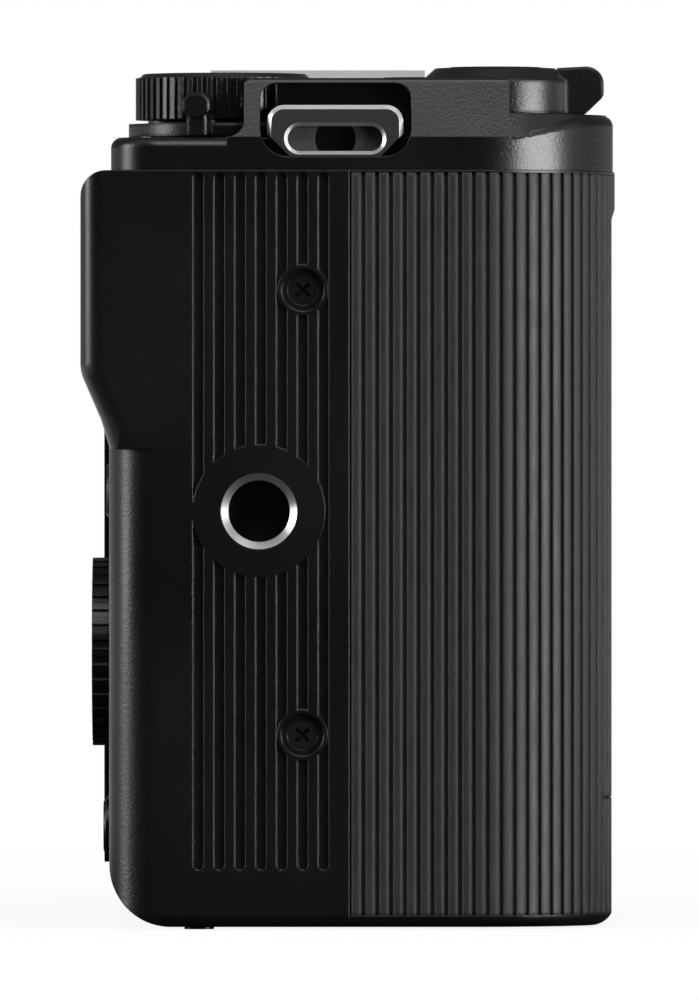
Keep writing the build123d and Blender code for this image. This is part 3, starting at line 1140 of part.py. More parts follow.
# Zoom ring with its tab, round the shutter button
ring = rod_z(0, 0, ZOOM_LOW_Z, ZOOM_RIM_Z, ZOOM_R)
ring += Pos(0, 0, (ZOOM_RIM_Z + ZOOM_TOP_Z) / 2) * Cone(ZOOM_R - 0.1, ZOOM_TOP_R, ZOOM_BEVEL_H)
tab_root = 1.2 - ZOOM_R
tab_end = ZOOM_TAB_Y - ZOOM_Y
tab_face = make_face(FilletPolyline(
    (tab_root, ZOOM_LOW_Z), (tab_end + 1.6, ZOOM_LOW_Z), (tab_end, ZOOM_LOW_Z + 1.5),
    (tab_end, ZOOM_TAB_TOP_Z), (tab_root, ZOOM_TAB_TOP_Z - 0.2),
    radius=[0, 0.5, 0.8, 1.5, 0], close=True))
ring += slab_x(tab_face, -ZOOM_TAB_W / 2, ZOOM_TAB_W / 2)
ring -= rod_z(0, 0, ZOOM_LOW_Z - PAST, ZOOM_TAB_TOP_Z + PAST, SHUTTER_R + RUN_GAP)
nodes["zoom_ring"] = Pos(ZOOM_X, ZOOM_Y, 0) * ring
shutter_cap_z = SHUTTER_TOP_Z - SHUTTER_CAP
shutter = button_z(0, 0, SHUTTER_TOP_Z, shutter_cap_z, SHUTTER_R, 0.35)
shutter += rod_z(0, 0, SHUTTER_LOW_Z, shutter_cap_z, STEM_R)
nodes["shutter_button"] = Pos(ZOOM_X, ZOOM_Y, 0) * shutter
nodes["record_button"] = button_z(
    RECORD_X, RECORD_Y, BLOCK_TOP_Z + TOP_BUTTON_RISE, SHELF_Z, RECORD_R, 0.3)

# Accessory shoe
nodes["shoe_base"] = block(
    -SHOE_HALF_W, SHOE_HALF_W, SHOE_FRONT_Y, SHOE_REAR_Y + SHOE_BASE_TAIL, SHOE_RECESS_Z, SHOE_FLOOR_Z)
channel = block(-SHOE_HALF_W, SHOE_HALF_W, SHOE_FRONT_Y, SHOE_REAR_Y, SHOE_FLOOR_Z, SHOE_TOP_Z)
channel -= block(
    -SHOE_SLOT_HALF, SHOE_SLOT_HALF, SHOE_FRONT_Y + SHOE_STOP_T, SHOE_REAR_Y + PAST,
    SHOE_FLOOR_Z - PAST, SHOE_LIP_LOW_Z)
channel -= block(
    -SHOE_LIP_HALF, SHOE_LIP_HALF, SHOE_FRONT_Y - PAST, SHOE_REAR_Y + PAST,
    SHOE_FLOOR_Z - PAST, SHOE_TOP_Z + PAST)
nodes["shoe_rails"] = channel
pad_z1 = SHOE_FLOOR_Z + SHOE_PAD_T
contacts = [rod_z(0, SHOE_PIN_Y, SHOE_FLOOR_Z, pad_z1, SHOE_PIN_R)]
for i in range(SHOE_PAD_COUNT):
    pad_x = (i - (SHOE_PAD_COUNT - 1) / 2) * SHOE_PAD_PITCH
    contacts.append(block(
        pad_x - SHOE_PAD_W / 2, pad_x + SHOE_PAD_W / 2, SHOE_PAD_Y0, SHOE_PAD_Y0 + SHOE_PAD_L,
        SHOE_FLOOR_Z, pad_z1))
nodes["shoe_contacts"] = Compound(children=contacts)

# Lens mount ring with its bayonet tabs
throat = rod_y(0, OPTICAL_Z, FLANGE_Y - FAR, SENSOR_Y, THROAT_R)
tab_throat = rod_y(0, OPTICAL_Z, FLANGE_Y - FAR, SENSOR_Y, TAB_THROAT_R)
mount = rod_y(0, OPTICAL_Z, FLANGE_Y, BOSS_FRONT_Y, MOUNT_R) - throat
tab_ring = rod_y(0, OPTICAL_Z, BOSS_FRONT_Y - MOUNT_TAB_T, BOSS_FRONT_Y, THROAT_R + BOSS_BORE_GAP) - tab_throat
for angle in MOUNT_TAB_ANGLES:
    sector = block(0, BOSS_R, FLANGE_Y - FAR, SENSOR_Y, -MOUNT_TAB_HALF, MOUNT_TAB_HALF)
    mount += tab_ring & (Pos(0, 0, OPTICAL_Z) * Rot(0, angle, 0) * sector)
for angle in MOUNT_SCREW_ANGLES:
    x, z = on_mount(angle)
    mount -= rod_y(x, z, FLANGE_Y - PAST, FLANGE_Y + MOUNT_SCREW_SINK + SCREW_HEAD_T, SCREW_HEAD_R + PRESS_GAP)
    mount -= rod_y(x, z, FLANGE_Y - PAST, FRONT_Y, SCREW_SHANK_R + SEAT_GAP)
mount -= rod_y(lock_x, lock_z, FLANGE_Y - PAST, FRONT_Y, LOCK_PIN_R + SEAT_GAP)
nodes["lens_mount_ring"] = mount
lock_pin = rod_y(lock_x, lock_z, FLANGE_Y - LOCK_PIN_RISE, FRONT_Y + LOCK_PIN_TAIL, LOCK_PIN_R)
nodes["lock_pin"] = chamfer(lock_pin.edges().group_by(Axis.Y)[0], 0.25)


def front_button(place, rise, root, r, edge):
    """A round button that stands out of the front cover."""
    x, z = place
    return Pos(x, 0, z) * Rot(90, 0, 0) * button_z(0, 0, rise - FRONT_Y, -FRONT_Y - root, r, edge)


nodes["release_button"] = front_button(RELEASE_XZ, RELEASE_RISE, RELEASE_ROOT, RELEASE_R, 0.5)
nodes["front_record_button"] = front_button(
    FRONT_RECORD_XZ, FRONT_RECORD_RISE, FRONT_RECORD_ROOT, FRONT_RECORD_R, 0.25)
nodes["tally_lens"] = rod_y(*TALLY_XZ, FRONT_Y - SMALL_GAP, FRONT_Y + TALLY_T, TALLY_R - PRESS_GAP)

# Light box with its rear window, and the mount contacts on a step inside it
light_box = rod_y(0, OPTICAL_Z, BOSS_FRONT_Y + SMALL_GAP, LIGHT_BOX_REAR_Y, LIGHT_BOX_R)
light_box -= rod_y(
    0, OPTICAL_Z, FLANGE_Y - FAR, LIGHT_BOX_REAR_Y - LIGHT_BOX_WALL, LIGHT_BOX_R - LIGHT_BOX_WALL)
window_half_w = WINDOW_W / 2 + LIGHT_BOX_WINDOW_GAP
window_half_h = WINDOW_H / 2 + LIGHT_BOX_WINDOW_GAP
light_box -= block(
    -window_half_w, window_half_w, FLANGE_Y, SENSOR_Y, OPTICAL_Z - window_half_h, OPTICAL_Z + window_half_h)
contact_step = block(
    -STEP_HALF_W, STEP_HALF_W, STEP_FRONT_Y, LIGHT_BOX_REAR_Y - PAST,
    OPTICAL_Z - STEP_LOW, OPTICAL_Z - STEP_TOP)
light_box += contact_step & rod_y(0, OPTICAL_Z, FLANGE_Y, SENSOR_Y, LIGHT_BOX_R - 0.5)
nodes["light_box"] = light_box
nodes["mount_contacts"] = Compound(children=[
    rod_y(
        (i - (PAD_COUNT - 1) / 2) * PAD_PITCH, OPTICAL_Z - PAD_DROP,
        STEP_FRONT_Y - PAD_PIN_L, STEP_FRONT_Y, PAD_PIN_R)
    for i in range(PAD_COUNT)])

# Chassis plate with the posts that carry the boards
chassis_face = rounded(CHASSIS_X0, CHASSIS_X1, CHASSIS_Z0, CHASSIS_Z1, CHASSIS_R)
chassis_face -= Pos(0, OPTICAL_Z) * Circle(LIGHT_BOX_R + 0.2)
for x, z in (RELEASE_XZ, FRONT_RECORD_XZ):
    chassis_face -= Pos(x, z) * Circle(CHASSIS_BUTTON_R)
chassis_face -= Pos(lock_x, lock_z) * Circle(LOCK_PIN_R + 0.8)
chassis = slab_y(chassis_face, CHASSIS_Y0, CHASSIS_Y0 + CHASSIS_T)
for x, z in POSTS_XZ:
    chassis += rod_y(x, z, CHASSIS_Y0, BOARD_Y, POST_R)
for angle in MOUNT_SCREW_ANGLES:
    x, z = on_mount(angle)
    chassis -= rod_y(x, z, FLANGE_Y, SENSOR_Y, SCREW_SHANK_R + FIT_GAP)
nodes["chassis"] = chassis

# Shutter frame and its blades, stored below the window
frame_z0 = OPTICAL_Z - WINDOW_H / 2 - BLADE_H - BLADE_PARK_GAP - SHUTTER_FOOT
frame_z1 = OPTICAL_Z + WINDOW_H / 2 + SHUTTER_HEAD
shutter_frame = block(-SHUTTER_HALF_W, SHUTTER_HALF_W, SHUTTER_Y0, SHUTTER_Y1, frame_z0, frame_z1)
shutter_frame -= block(
    -BLADE_ROOM_HALF, BLADE_ROOM_HALF, SHUTTER_Y0 + SHUTTER_PLATE_T, SHUTTER_Y1 - SHUTTER_PLATE_T,
    frame_z0 + SHUTTER_RIM, frame_z1 - SHUTTER_RIM)
shutter_frame -= block(
    -WINDOW_W / 2, WINDOW_W / 2, FLANGE_Y, SENSOR_Y, OPTICAL_Z - WINDOW_H / 2, OPTICAL_Z + WINDOW_H / 2)
nodes["shutter_frame"] = shutter_frame
blade_z0 = OPTICAL_Z - WINDOW_H / 2 - BLADE_H - BLADE_PARK_GAP
for i in range(BLADE_COUNT):
    blade_y = SHUTTER_Y0 + BLADE_FIRST + i * BLADE_STEP
    nodes[f"shutter_blade_{i + 1}"] = block(
        -BLADE_HALF_W, BLADE_HALF_W, blade_y, blade_y + BLADE_T, blade_z0, blade_z0 + BLADE_H)


def behind_lens(width, height, y0, y1):
    """A box round the optical axis."""
    return block(-width / 2, width / 2, y0, y1, OPTICAL_Z - height / 2, OPTICAL_Z + height / 2)


# Sensor, its cover glass and its frame
sensor_rear_y = HEAT_PLATE_Y - SMALL_GAP
sensor_frame = behind_lens(SENSOR_FRAME_W, SENSOR_FRAME_H, SHUTTER_Y1 + RUN_GAP, sensor_rear_y)
sensor_frame -= behind_lens(
    SENSOR_PACK_W + 2 * SMALL_GAP, SENSOR_PACK_H + 2 * SMALL_GAP, SHUTTER_Y1, HEAT_PLATE_Y)
nodes["sensor_frame"] = sensor_frame
nodes["sensor_glass"] = behind_lens(
    SENSOR_PACK_W, SENSOR_PACK_H, SENSOR_GLASS_Y, SENSOR_GLASS_Y + SENSOR_GLASS_T)
sensor = behind_lens(SENSOR_PACK_W, SENSOR_PACK_H, SENSOR_Y + SENSOR_DIE_STEP, sensor_rear_y)
sensor += behind_lens(SENSOR_W, SENSOR_H, SENSOR_Y, SENSOR_Y + SENSOR_DIE_T)
nodes["image_sensor"] = sensor

# Heat plate and main board
heat = slab_y(rounded(BOARD_X0, BOARD_X1, HEAT_Z0, HEAT_Z1, HEAT_R), HEAT_PLATE_Y, HEAT_PLATE_Y + HEAT_PLATE_T)
for x, z in POSTS_XZ:
    heat -= rod_y(x, z, HEAT_PLATE_Y - PAST, HEAT_PLATE_Y + HEAT_PLATE_T + PAST, POST_R + SEAT_GAP)
nodes["heat_plate"] = heat
board_rear_y = BOARD_Y + BOARD_T
board = slab_y(rounded(BOARD_X0, BOARD_X1, BOARD_Z0, BOARD_Z1, BOARD_R), BOARD_Y, board_rear_y)
for x, z, width, thick in CHIPS:
    half = width / 2
    board += block(x - half, x + half, board_rear_y, board_rear_y + thick, z - half, z + half)
heat_x, heat_z = HEAT_BLOCK_XZ
half = HEAT_BLOCK_W / 2
board += block(
    heat_x - half, heat_x + half, HEAT_PLATE_Y + HEAT_PLATE_T + SMALL_GAP, BOARD_Y,
    heat_z - half, heat_z + half)
nodes["main_board"] = board

# Jacks and ports on the side
jacks = []
for z in JACKS_Z:
    jack = rod_x(PORT_FLOOR_X - PORT_FLOOR_T - JACK_L, PORT_FLOOR_X, PORT_Y, z, JACK_R)
    jacks.append(jack - rod_x(PORT_FLOOR_X - JACK_L, PORT_FLOOR_X + PAST, PORT_Y, z, JACK_BORE_R))
nodes["audio_jacks"] = Compound(children=jacks)
ports = []
for z, length, width in PORTS:
    half_w = width / 2
    half_l = length / 2
    tongue_half = length * PORT_TONGUE_SHARE / 2
    port = block(
        PORT_FLOOR_X - PORT_DEPTH, PORT_FLOOR_X, PORT_Y - half_w - PORT_SHELL, PORT_Y + half_w + PORT_SHELL,
        z - half_l - PORT_SHELL, z + half_l + PORT_SHELL)
    port -= block(
        PORT_FLOOR_X - PORT_DEPTH + PAST, PORT_FLOOR_X + PAST, PORT_Y - half_w, PORT_Y + half_w,
        z - half_l, z + half_l)
    port += block(
        PORT_FLOOR_X - PORT_DEPTH + 0.5, PORT_FLOOR_X - PAST, PORT_Y - PORT_TONGUE_T / 2,
        PORT_Y + PORT_TONGUE_T / 2, z - tongue_half, z + tongue_half)
    ports.append(port)
nodes["data_ports"] = Compound(children=ports)
nodes["microphones"] = Compound(children=[
    rod_z(x, y, room_top_z - MIC_T, room_top_z, MIC_R) for x, y in MIC_XY])

# Side doors
for name, (low, high) in SIDE_DOORS_Z.items():
    low += SMALL_GAP
    high -= SMALL_GAP
    plate = block(LEFT_SIDE_X - SIDE_DOOR_T, LEFT_SIDE_X, SIDE_DOOR_Y0, SIDE_DOOR_Y1, low, high)
    plate += rod_z(SIDE_DOOR_PIN_X, SIDE_DOOR_Y0, low, high, SIDE_DOOR_PIN_R)
    plate += rod_z(
        SIDE_DOOR_PIN_X, SIDE_DOOR_Y0, low - SIDE_DOOR_TIP_L - SMALL_GAP, high + SIDE_DOOR_TIP_L + SMALL_GAP,
        SIDE_DOOR_TIP_R)
    nodes[name] = plate

# Monitor housing, its glass and its panel
housing = slab_y(rounded(MON_X0, MON_X1, MON_Z0, MON_Z1, MON_EDGE_R), MON_Y0, MON_Y1)
glass_face = rounded(MON_X0 + GLASS_RIM, MON_X1 - GLASS_RIM, MON_Z0 + GLASS_RIM, MON_Z1 - GLASS_RIM, GLASS_R)
housing -= slab_y(offset(glass_face, SEAT_GAP), MON_Y1 - GLASS_POCKET, MON_Y1 + PAST)
panel_face = rounded(
    MON_X0 + PANEL_RIM_X0, MON_X1 - PANEL_RIM_X1, MON_Z0 + PANEL_RIM_Z, MON_Z1 - PANEL_RIM_Z, PANEL_R)
housing -= slab_y(offset(panel_face, SEAT_GAP), MON_Y1 - PANEL_SINK - SMALL_GAP, MON_Y1 + PAST)
nodes["monitor_housing"] = housing
glass_y1 = MON_Y1 - GLASS_SINK
nodes["monitor_glass"] = slab_y(glass_face, glass_y1 - GLASS_T, glass_y1)
nodes["lcd_panel"] = slab_y(panel_face, MON_Y1 - PANEL_SINK, MON_Y1 - GLASS_POCKET)

# Monitor hinge: the arm between two knuckles of the bracket
arm_z0 = KNUCKLE_Z[0][1] + RUN_GAP
arm_z1 = KNUCKLE_Z[1][0] - RUN_GAP
arm = rod_z(MON_AXIS_X, MON_AXIS_Y, arm_z0, arm_z1, MON_KNUCKLE_R)
arm += block(MON_X1, MON_AXIS_X, MON_AXIS_Y - ARM_T / 2, MON_AXIS_Y + ARM_T / 2, arm_z0, arm_z1)
arm -= rod_z(MON_AXIS_X, MON_AXIS_Y, BASE_Z, SPLIT_Z, MON_PIN_R + SEAT_GAP)
nodes["monitor_hinge_arm"] = arm
hinge_z0 = KNUCKLE_Z[0][0]
hinge_z1 = KNUCKLE_Z[1][1]
bracket = block(
    BRACKET_X0, BRACKET_X1, RECESS_Y, RECESS_Y + BRACKET_T, hinge_z0 - BRACKET_TAIL, hinge_z1 + BRACKET_TAIL)
for low, high in KNUCKLE_Z:
    bracket += rod_z(MON_AXIS_X, MON_AXIS_Y, low, high, MON_KNUCKLE_R)
    bracket += block(
        MON_AXIS_X - BRACKET_WEB_HALF, MON_AXIS_X + BRACKET_WEB_HALF, RECESS_Y, MON_AXIS_Y, low, high)
bracket -= rod_z(MON_AXIS_X, MON_AXIS_Y, BASE_Z, SPLIT_Z, MON_PIN_R + FIT_GAP)
nodes["monitor_hinge_bracket"] = bracket
door_pin = rod_y(HINGE_X, HINGE_Z, HINGE_Y0 - HINGE_PIN_TAIL, DOOR_Y1 + HINGE_PIN_TAIL, HINGE_PIN_R) & outer
monitor_pin = rod_z(MON_AXIS_X, MON_AXIS_Y, hinge_z0 + RUN_GAP, hinge_z1 - RUN_GAP, MON_PIN_R)
nodes["hinge_pins"] = Compound(children=[door_pin, monitor_pin])

# Rear dial round its set button
wheel_y0 = REAR_POCKET_Y + RUN_GAP
wheel_face = knurled(REAR_DIAL_R, REAR_DIAL_RIBS, REAR_DIAL_RIB_DEPTH) - Circle(SET_R + RUN_GAP)
wheel = extrude(wheel_face, REAR_DIAL_Y - wheel_y0)
nodes["rear_dial"] = Pos(REAR_DIAL_X, wheel_y0, REAR_DIAL_Z) * Rot(-90, 0, 0) * wheel
set_button = rod_y(REAR_DIAL_X, REAR_DIAL_Z, SET_FACE_Y - SET_CAP, SET_FACE_Y, SET_R)
set_button = fillet(set_button.edges().group_by(Axis.Y)[-1], SET_EDGE_R)
set_button += rod_y(REAR_DIAL_X, REAR_DIAL_Z, REAR_Y - WALL - SMALL_GAP, SET_FACE_Y - SET_CAP / 2, STEM_R)
nodes["set_button"] = set_button
for name, (x, z) in BUTTON_XZ.items():
    nodes[name] = button_y(
        x, z, REAR_Y - WALL + SMALL_GAP, SMALL_BUTTON_Y, SMALL_BUTTON_R, SMALL_BUTTON_EDGE)

os.makedirs("parts", exist_ok=True)
for name, shape in nodes.items():
    export_step(shape, f"parts/{name}.step")
print(len(nodes), "nodes written")
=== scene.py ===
"""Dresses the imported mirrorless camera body: finishes, tripod threads, marks, grilles and the studio."""
import json
import math

import bmesh
import bpy
from mathutils import Matrix, Vector


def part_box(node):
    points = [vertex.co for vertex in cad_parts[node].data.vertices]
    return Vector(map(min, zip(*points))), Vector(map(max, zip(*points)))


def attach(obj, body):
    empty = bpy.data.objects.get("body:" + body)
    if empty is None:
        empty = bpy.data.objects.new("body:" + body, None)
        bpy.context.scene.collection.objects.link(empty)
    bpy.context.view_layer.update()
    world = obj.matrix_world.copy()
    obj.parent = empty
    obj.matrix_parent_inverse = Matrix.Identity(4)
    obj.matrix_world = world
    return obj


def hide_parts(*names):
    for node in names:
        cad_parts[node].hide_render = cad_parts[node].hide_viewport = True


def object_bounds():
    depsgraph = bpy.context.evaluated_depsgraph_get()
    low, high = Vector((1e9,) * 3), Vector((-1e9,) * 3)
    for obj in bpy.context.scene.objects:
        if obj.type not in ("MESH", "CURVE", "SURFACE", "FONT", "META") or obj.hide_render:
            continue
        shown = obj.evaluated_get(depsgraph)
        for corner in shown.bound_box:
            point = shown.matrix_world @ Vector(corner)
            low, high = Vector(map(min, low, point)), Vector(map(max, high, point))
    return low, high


bl_info = {
    "name": "Mirrorless camera body",
    "version": (1, 0, 0),
    "blender": (4, 5, 0),
    "location": "3D View > Sidebar > Camera body",
    "description": "Finishes and small parts of a compact mirrorless camera body",
    "category": "Object",
}

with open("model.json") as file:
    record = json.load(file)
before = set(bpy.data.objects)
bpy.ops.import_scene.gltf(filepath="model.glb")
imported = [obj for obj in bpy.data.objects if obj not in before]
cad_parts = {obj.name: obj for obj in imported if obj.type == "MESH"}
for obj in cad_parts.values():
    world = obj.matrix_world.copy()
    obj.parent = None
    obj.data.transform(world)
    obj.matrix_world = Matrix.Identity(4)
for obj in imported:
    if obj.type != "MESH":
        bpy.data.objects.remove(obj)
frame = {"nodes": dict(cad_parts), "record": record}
NODES = frame["nodes"]
CAD_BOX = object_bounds()
MM = 0.001

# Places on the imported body
SHELF_Z = 66.8 * MM                         # low part of the top cover, round the dials
BLOCK_Z = 71.8 * MM                         # raised part of the top cover
BUSH_MOUTH_RADIUS = 3.2 * MM
BUSH_NECK_LENGTH = 1.4 * MM                 # from the bush's mouth back to its flange
MOUNT_DOT_HEIGHT = 30.3 * MM                # over the optical axis

# Printed marks
FIGURE_COUNT = 6
FIGURE_RADIUS = 4.6 * MM                    # circle of the figures on the mode dial
FIGURE_SCALE = 1.15                         # of the text size
WORD_SCALE = 0.8
RECORD_DOT_RADIUS = 1.1 * MM
MOUNT_DOT_RADIUS = 1.0 * MM
SWITCH_WORDS = (("OFF", -66.2, 9.4, 160), ("ON", -62.9, 11.6, 150))     # X and Y in mm, turn in degrees
PLANE_MARK_X, PLANE_MARK_Y = 22.0 * MM, -7.6 * MM
PLANE_BAR = (3.6 * MM, 0.18 * MM)
PLANE_RING = (0.75 * MM, 0.93 * MM)         # inner and outer radius

# Microphone grilles
GRILLE_INSET = 2.0 * MM                     # from the end of the microphones to the grille's centre
GRILLE_RIM = (2.3 * MM, 2.6 * MM)           # inner and outer radius
GRILLE_RIM_HEIGHT = 0.06 * MM
GRILLE_RIM_SUNK = 0.02 * MM
# The grille's holes are not cut: each is a black disc on the cover, painted shade where a hole would be
GRILLE_SHADE_DISC_RADIUS = 0.22 * MM
GRILLE_SHADE_DISC_HEIGHT = 0.04 * MM
GRILLE_RINGS = ((0.0, 1), (0.8 * MM, 6), (1.6 * MM, 12))                # radius and number of holes

# Studio, in metres
VIEW_CENTRE_Y, VIEW_CENTRE_Z = -7.58 * MM, 36.2 * MM
SENSOR_MM = 36
FAR_CLIP = 50
FLOOR_HALF = 6.0
FLOOR_WHITE = (0.85, 0.85, 0.85)
LIGHT_TARGET = (-0.04, -0.008, 0.035)
LIGHTS = (                                  # name, place, size and the setting that holds the power
    ("key_light", (-0.65, -0.22, 0.8), (0.9, 0.6), "key"),
    ("front_light", (-0.57, -0.82, 0.05), (0.6, 0.24), "front"),
    ("rear_light", (-0.22, 0.9, 0.16), (0.35, 0.7), "rear"),
)


# Sizes and colours that a user would change

class FinishSettings(bpy.types.PropertyGroup):
    cover_colour: bpy.props.FloatVectorProperty(
        name="Cover colour", description="Sprayed paint on the covers", subtype="COLOR",
        default=(0.0028, 0.0028, 0.0030), min=0, max=1)
    grip_colour: bpy.props.FloatVectorProperty(
        name="Grip colour", description="Moulded rubber of the grip", subtype="COLOR",
        default=(0.0165, 0.0165, 0.0168), min=0, max=1)
    control_colour: bpy.props.FloatVectorProperty(
        name="Control colour", description="Dials, levers and buttons", subtype="COLOR",
        default=(0.0055, 0.0055, 0.0058), min=0, max=1)
    grain: bpy.props.FloatProperty(
        name="Paint grain", description="Width of one grain of the sprayed texture", subtype="DISTANCE",
        default=0.00024, min=0.00002, max=0.002)
    edge: bpy.props.FloatProperty(
        name="Edge softness", description="Radius of the worn edges of moulded pieces", subtype="DISTANCE",
        default=0.00015, min=0, max=0.001)
    lever_edge: bpy.props.FloatProperty(
        name="Lever edge softness", description="Radius of the edges of the lever and the zoom ring",
        subtype="DISTANCE", default=0.00045, min=0, max=0.001)
    grip_edge: bpy.props.FloatProperty(
        name="Grip edge softness", description="Radius of the edges of the grip's flutes", subtype="DISTANCE",
        default=0.00045, min=0, max=0.001)
    mark_colour: bpy.props.FloatVectorProperty(
        name="Mark colour", description="Printed marks", subtype="COLOR",
        default=(0.62, 0.62, 0.62), min=0, max=1)
    record_colour: bpy.props.FloatVectorProperty(
        name="Record colour", description="Red of the record buttons", subtype="COLOR",
        default=(0.45, 0.012, 0.01), min=0, max=1)


class ThreadSettings(bpy.types.PropertyGroup):
    pitch: bpy.props.FloatProperty(
        name="Thread pitch", description="Rise of the thread in one turn", subtype="DISTANCE",
        default=0.00127, min=0.0005, max=0.003)
    major: bpy.props.FloatProperty(
        name="Major radius", description="Radius at the thread's root", subtype="DISTANCE",
        default=0.003175, min=0.001, max=0.01)
    lip: bpy.props.FloatProperty(
        name="Mouth bevel", description="Bevel at the thread's mouth", subtype="DISTANCE",
        default=0.00058, min=0.0001, max=0.002)
    undercut: bpy.props.FloatProperty(
        name="Undercut", description="Step behind the bevel, before the thread starts", subtype="DISTANCE",
        default=0.00006, min=0, max=0.001)
    overlap: bpy.props.FloatProperty(
        name="Root overlap", description="How far the thread's foot goes into the wall", subtype="DISTANCE",
        default=0.00002, min=0, max=0.0002)
    steps: bpy.props.IntProperty(
        name="Steps in a turn", description="Facets round the bush", default=96, min=16, max=256)


class LugSettings(bpy.types.PropertyGroup):
    depth: bpy.props.FloatProperty(
        name="Plate depth", description="From the lug's face back to the plate", subtype="DISTANCE",
        default=0.0021, min=0.0016, max=0.003)
    thickness: bpy.props.FloatProperty(
        name="Plate thickness", description="Thickness of the plate", subtype="DISTANCE",
        default=0.0004, min=0.0001, max=0.001)
    slot_height: bpy.props.FloatProperty(
        name="Slot height", description="Middle of the slot over the lug's lower edge", subtype="DISTANCE",
        default=0.00147, min=0.001, max=0.004)
    half_height: bpy.props.FloatProperty(
        name="Half height", description="Half of the plate's height", subtype="DISTANCE",
        default=0.002, min=0.001, max=0.004)
    inset: bpy.props.FloatProperty(
        name="Inset", description="From the lug's end to the plate's end", subtype="DISTANCE",
        default=0.0014, min=0, max=0.004)
    hole: bpy.props.FloatProperty(
        name="Hole radius", description="Radius of the round hole behind the slot", subtype="DISTANCE",
        default=0.00173, min=0.0005, max=0.004)


class MarkSettings(bpy.types.PropertyGroup):
    text_size: bpy.props.FloatProperty(
        name="Text size", description="Height of the printed figures", subtype="DISTANCE",
        default=0.0016, min=0.0005, max=0.01)
    icon_size: bpy.props.FloatProperty(
        name="Icon size", description="Width of the icons on the rear buttons", subtype="DISTANCE",
        default=0.0019, min=0.0005, max=0.01)
    icon_stroke: bpy.props.FloatProperty(
        name="Icon stroke", description="Line width of the icons", subtype="DISTANCE",
        default=0.00022, min=0.00005, max=0.001)
    ink: bpy.props.FloatProperty(
        name="Ink thickness", description="How far the print stands off the surface", subtype="DISTANCE",
        default=0.00002, min=0.000005, max=0.0005)


class StageSettings(bpy.types.PropertyGroup):
    distance: bpy.props.FloatProperty(
        name="Camera distance", description="From the lens to the grip side", subtype="DISTANCE",
        default=1.6, min=0.3, max=10)
    view_height: bpy.props.FloatProperty(
        name="View height", description="Height of the picture at the grip side", subtype="DISTANCE",
        default=0.08425, min=0.01, max=1)
    key: bpy.props.FloatProperty(
        name="Key light", description="Power of the light over the grip", unit="POWER",
        default=5.4, min=0, max=500)
    front: bpy.props.FloatProperty(
        name="Front light", description="Power of the upright light on the lens side", unit="POWER",
        default=10.3, min=0, max=500)
    rear: bpy.props.FloatProperty(
        name="Rear light", description="Power of the upright light on the monitor side", unit="POWER",
        default=5.5, min=0, max=500)
    sky: bpy.props.FloatProperty(
        name="Sky strength", description="Light from all round", default=0.8, min=0, max=5)
    contact: bpy.props.FloatProperty(
        name="Floor bounce", description="What the floor close to the object throws back at it", default=0.03,
        min=0, max=1)
    side_sky: bpy.props.FloatProperty(
        name="Side sky", description="Brightness of the sky beside the object, as its gloss shows it",
        default=0.5, min=0.01, max=1)
    wing_sky: bpy.props.FloatProperty(
        name="Wing sky", description="Brightness of the dim wings between the sides and the white backdrop",
        default=0.1, min=0, max=1)
    dark_side: bpy.props.FloatProperty(
        name="Dark side", description="What is left of the sky behind the picture's camera", default=0.03,
        min=0, max=1)


# Procedural finishes

def new_material(name):
    material = bpy.data.materials.new(name)
    material.use_nodes = True
    tree = material.node_tree
    shader = tree.nodes["Principled BSDF"]
    return material, tree, shader


def object_coords(tree):
    return tree.nodes.new("ShaderNodeTexCoord").outputs["Object"]


def noise(tree, coords, width, detail=2.0, stretch=(1, 1, 1)):
    """A noise texture whose features are about that wide, in metres."""
    mapping = tree.nodes.new("ShaderNodeMapping")
    mapping.inputs["Scale"].default_value = stretch
    texture = tree.nodes.new("ShaderNodeTexNoise")
    texture.inputs["Scale"].default_value = 1 / width
    texture.inputs["Detail"].default_value = detail
    tree.links.new(coords, mapping.inputs["Vector"])
    tree.links.new(mapping.outputs["Vector"], texture.inputs["Vector"])
    return texture.outputs["Fac"]


def spread(tree, value, low, high, start=0.3, end=0.7):
    """Maps a noise value onto a range."""
    remap = tree.nodes.new("ShaderNodeMapRange")
    remap.inputs["From Min"].default_value = start
    remap.inputs["From Max"].default_value = end
    remap.inputs["To Min"].default_value = low
    remap.inputs["To Max"].default_value = high
    tree.links.new(value, remap.inputs["Value"])
    return remap.outputs["Result"]


def tint(tree, value, dark, light):
    """A colour that runs between two others with a value."""
    mix = tree.nodes.new("ShaderNodeMix")
    mix.data_type = "RGBA"
    mix.inputs["A"].default_value = (*dark, 1)
    mix.inputs["B"].default_value = (*light, 1)
    tree.links.new(value, mix.inputs["Factor"])
    return mix.outputs["Result"]


def bump(tree, shader, height, strength, distance, after=None):
    """Raises the surface by a height value, on top of another normal where there is one."""
    node = tree.nodes.new("ShaderNodeBump")
    node.inputs["Strength"].default_value = strength
    node.inputs["Distance"].default_value = distance
    tree.links.new(height, node.inputs["Height"])
    if after is not None:
        tree.links.new(after, node.inputs["Normal"])
    tree.links.new(node.outputs["Normal"], shader.inputs["Normal"])


def soft_edges(tree, radius):
    """A normal that rounds off sharp edges."""
    node = tree.nodes.new("ShaderNodeBevel")
    node.samples = 4
    node.inputs["Radius"].default_value = radius
    return node.outputs["Normal"]


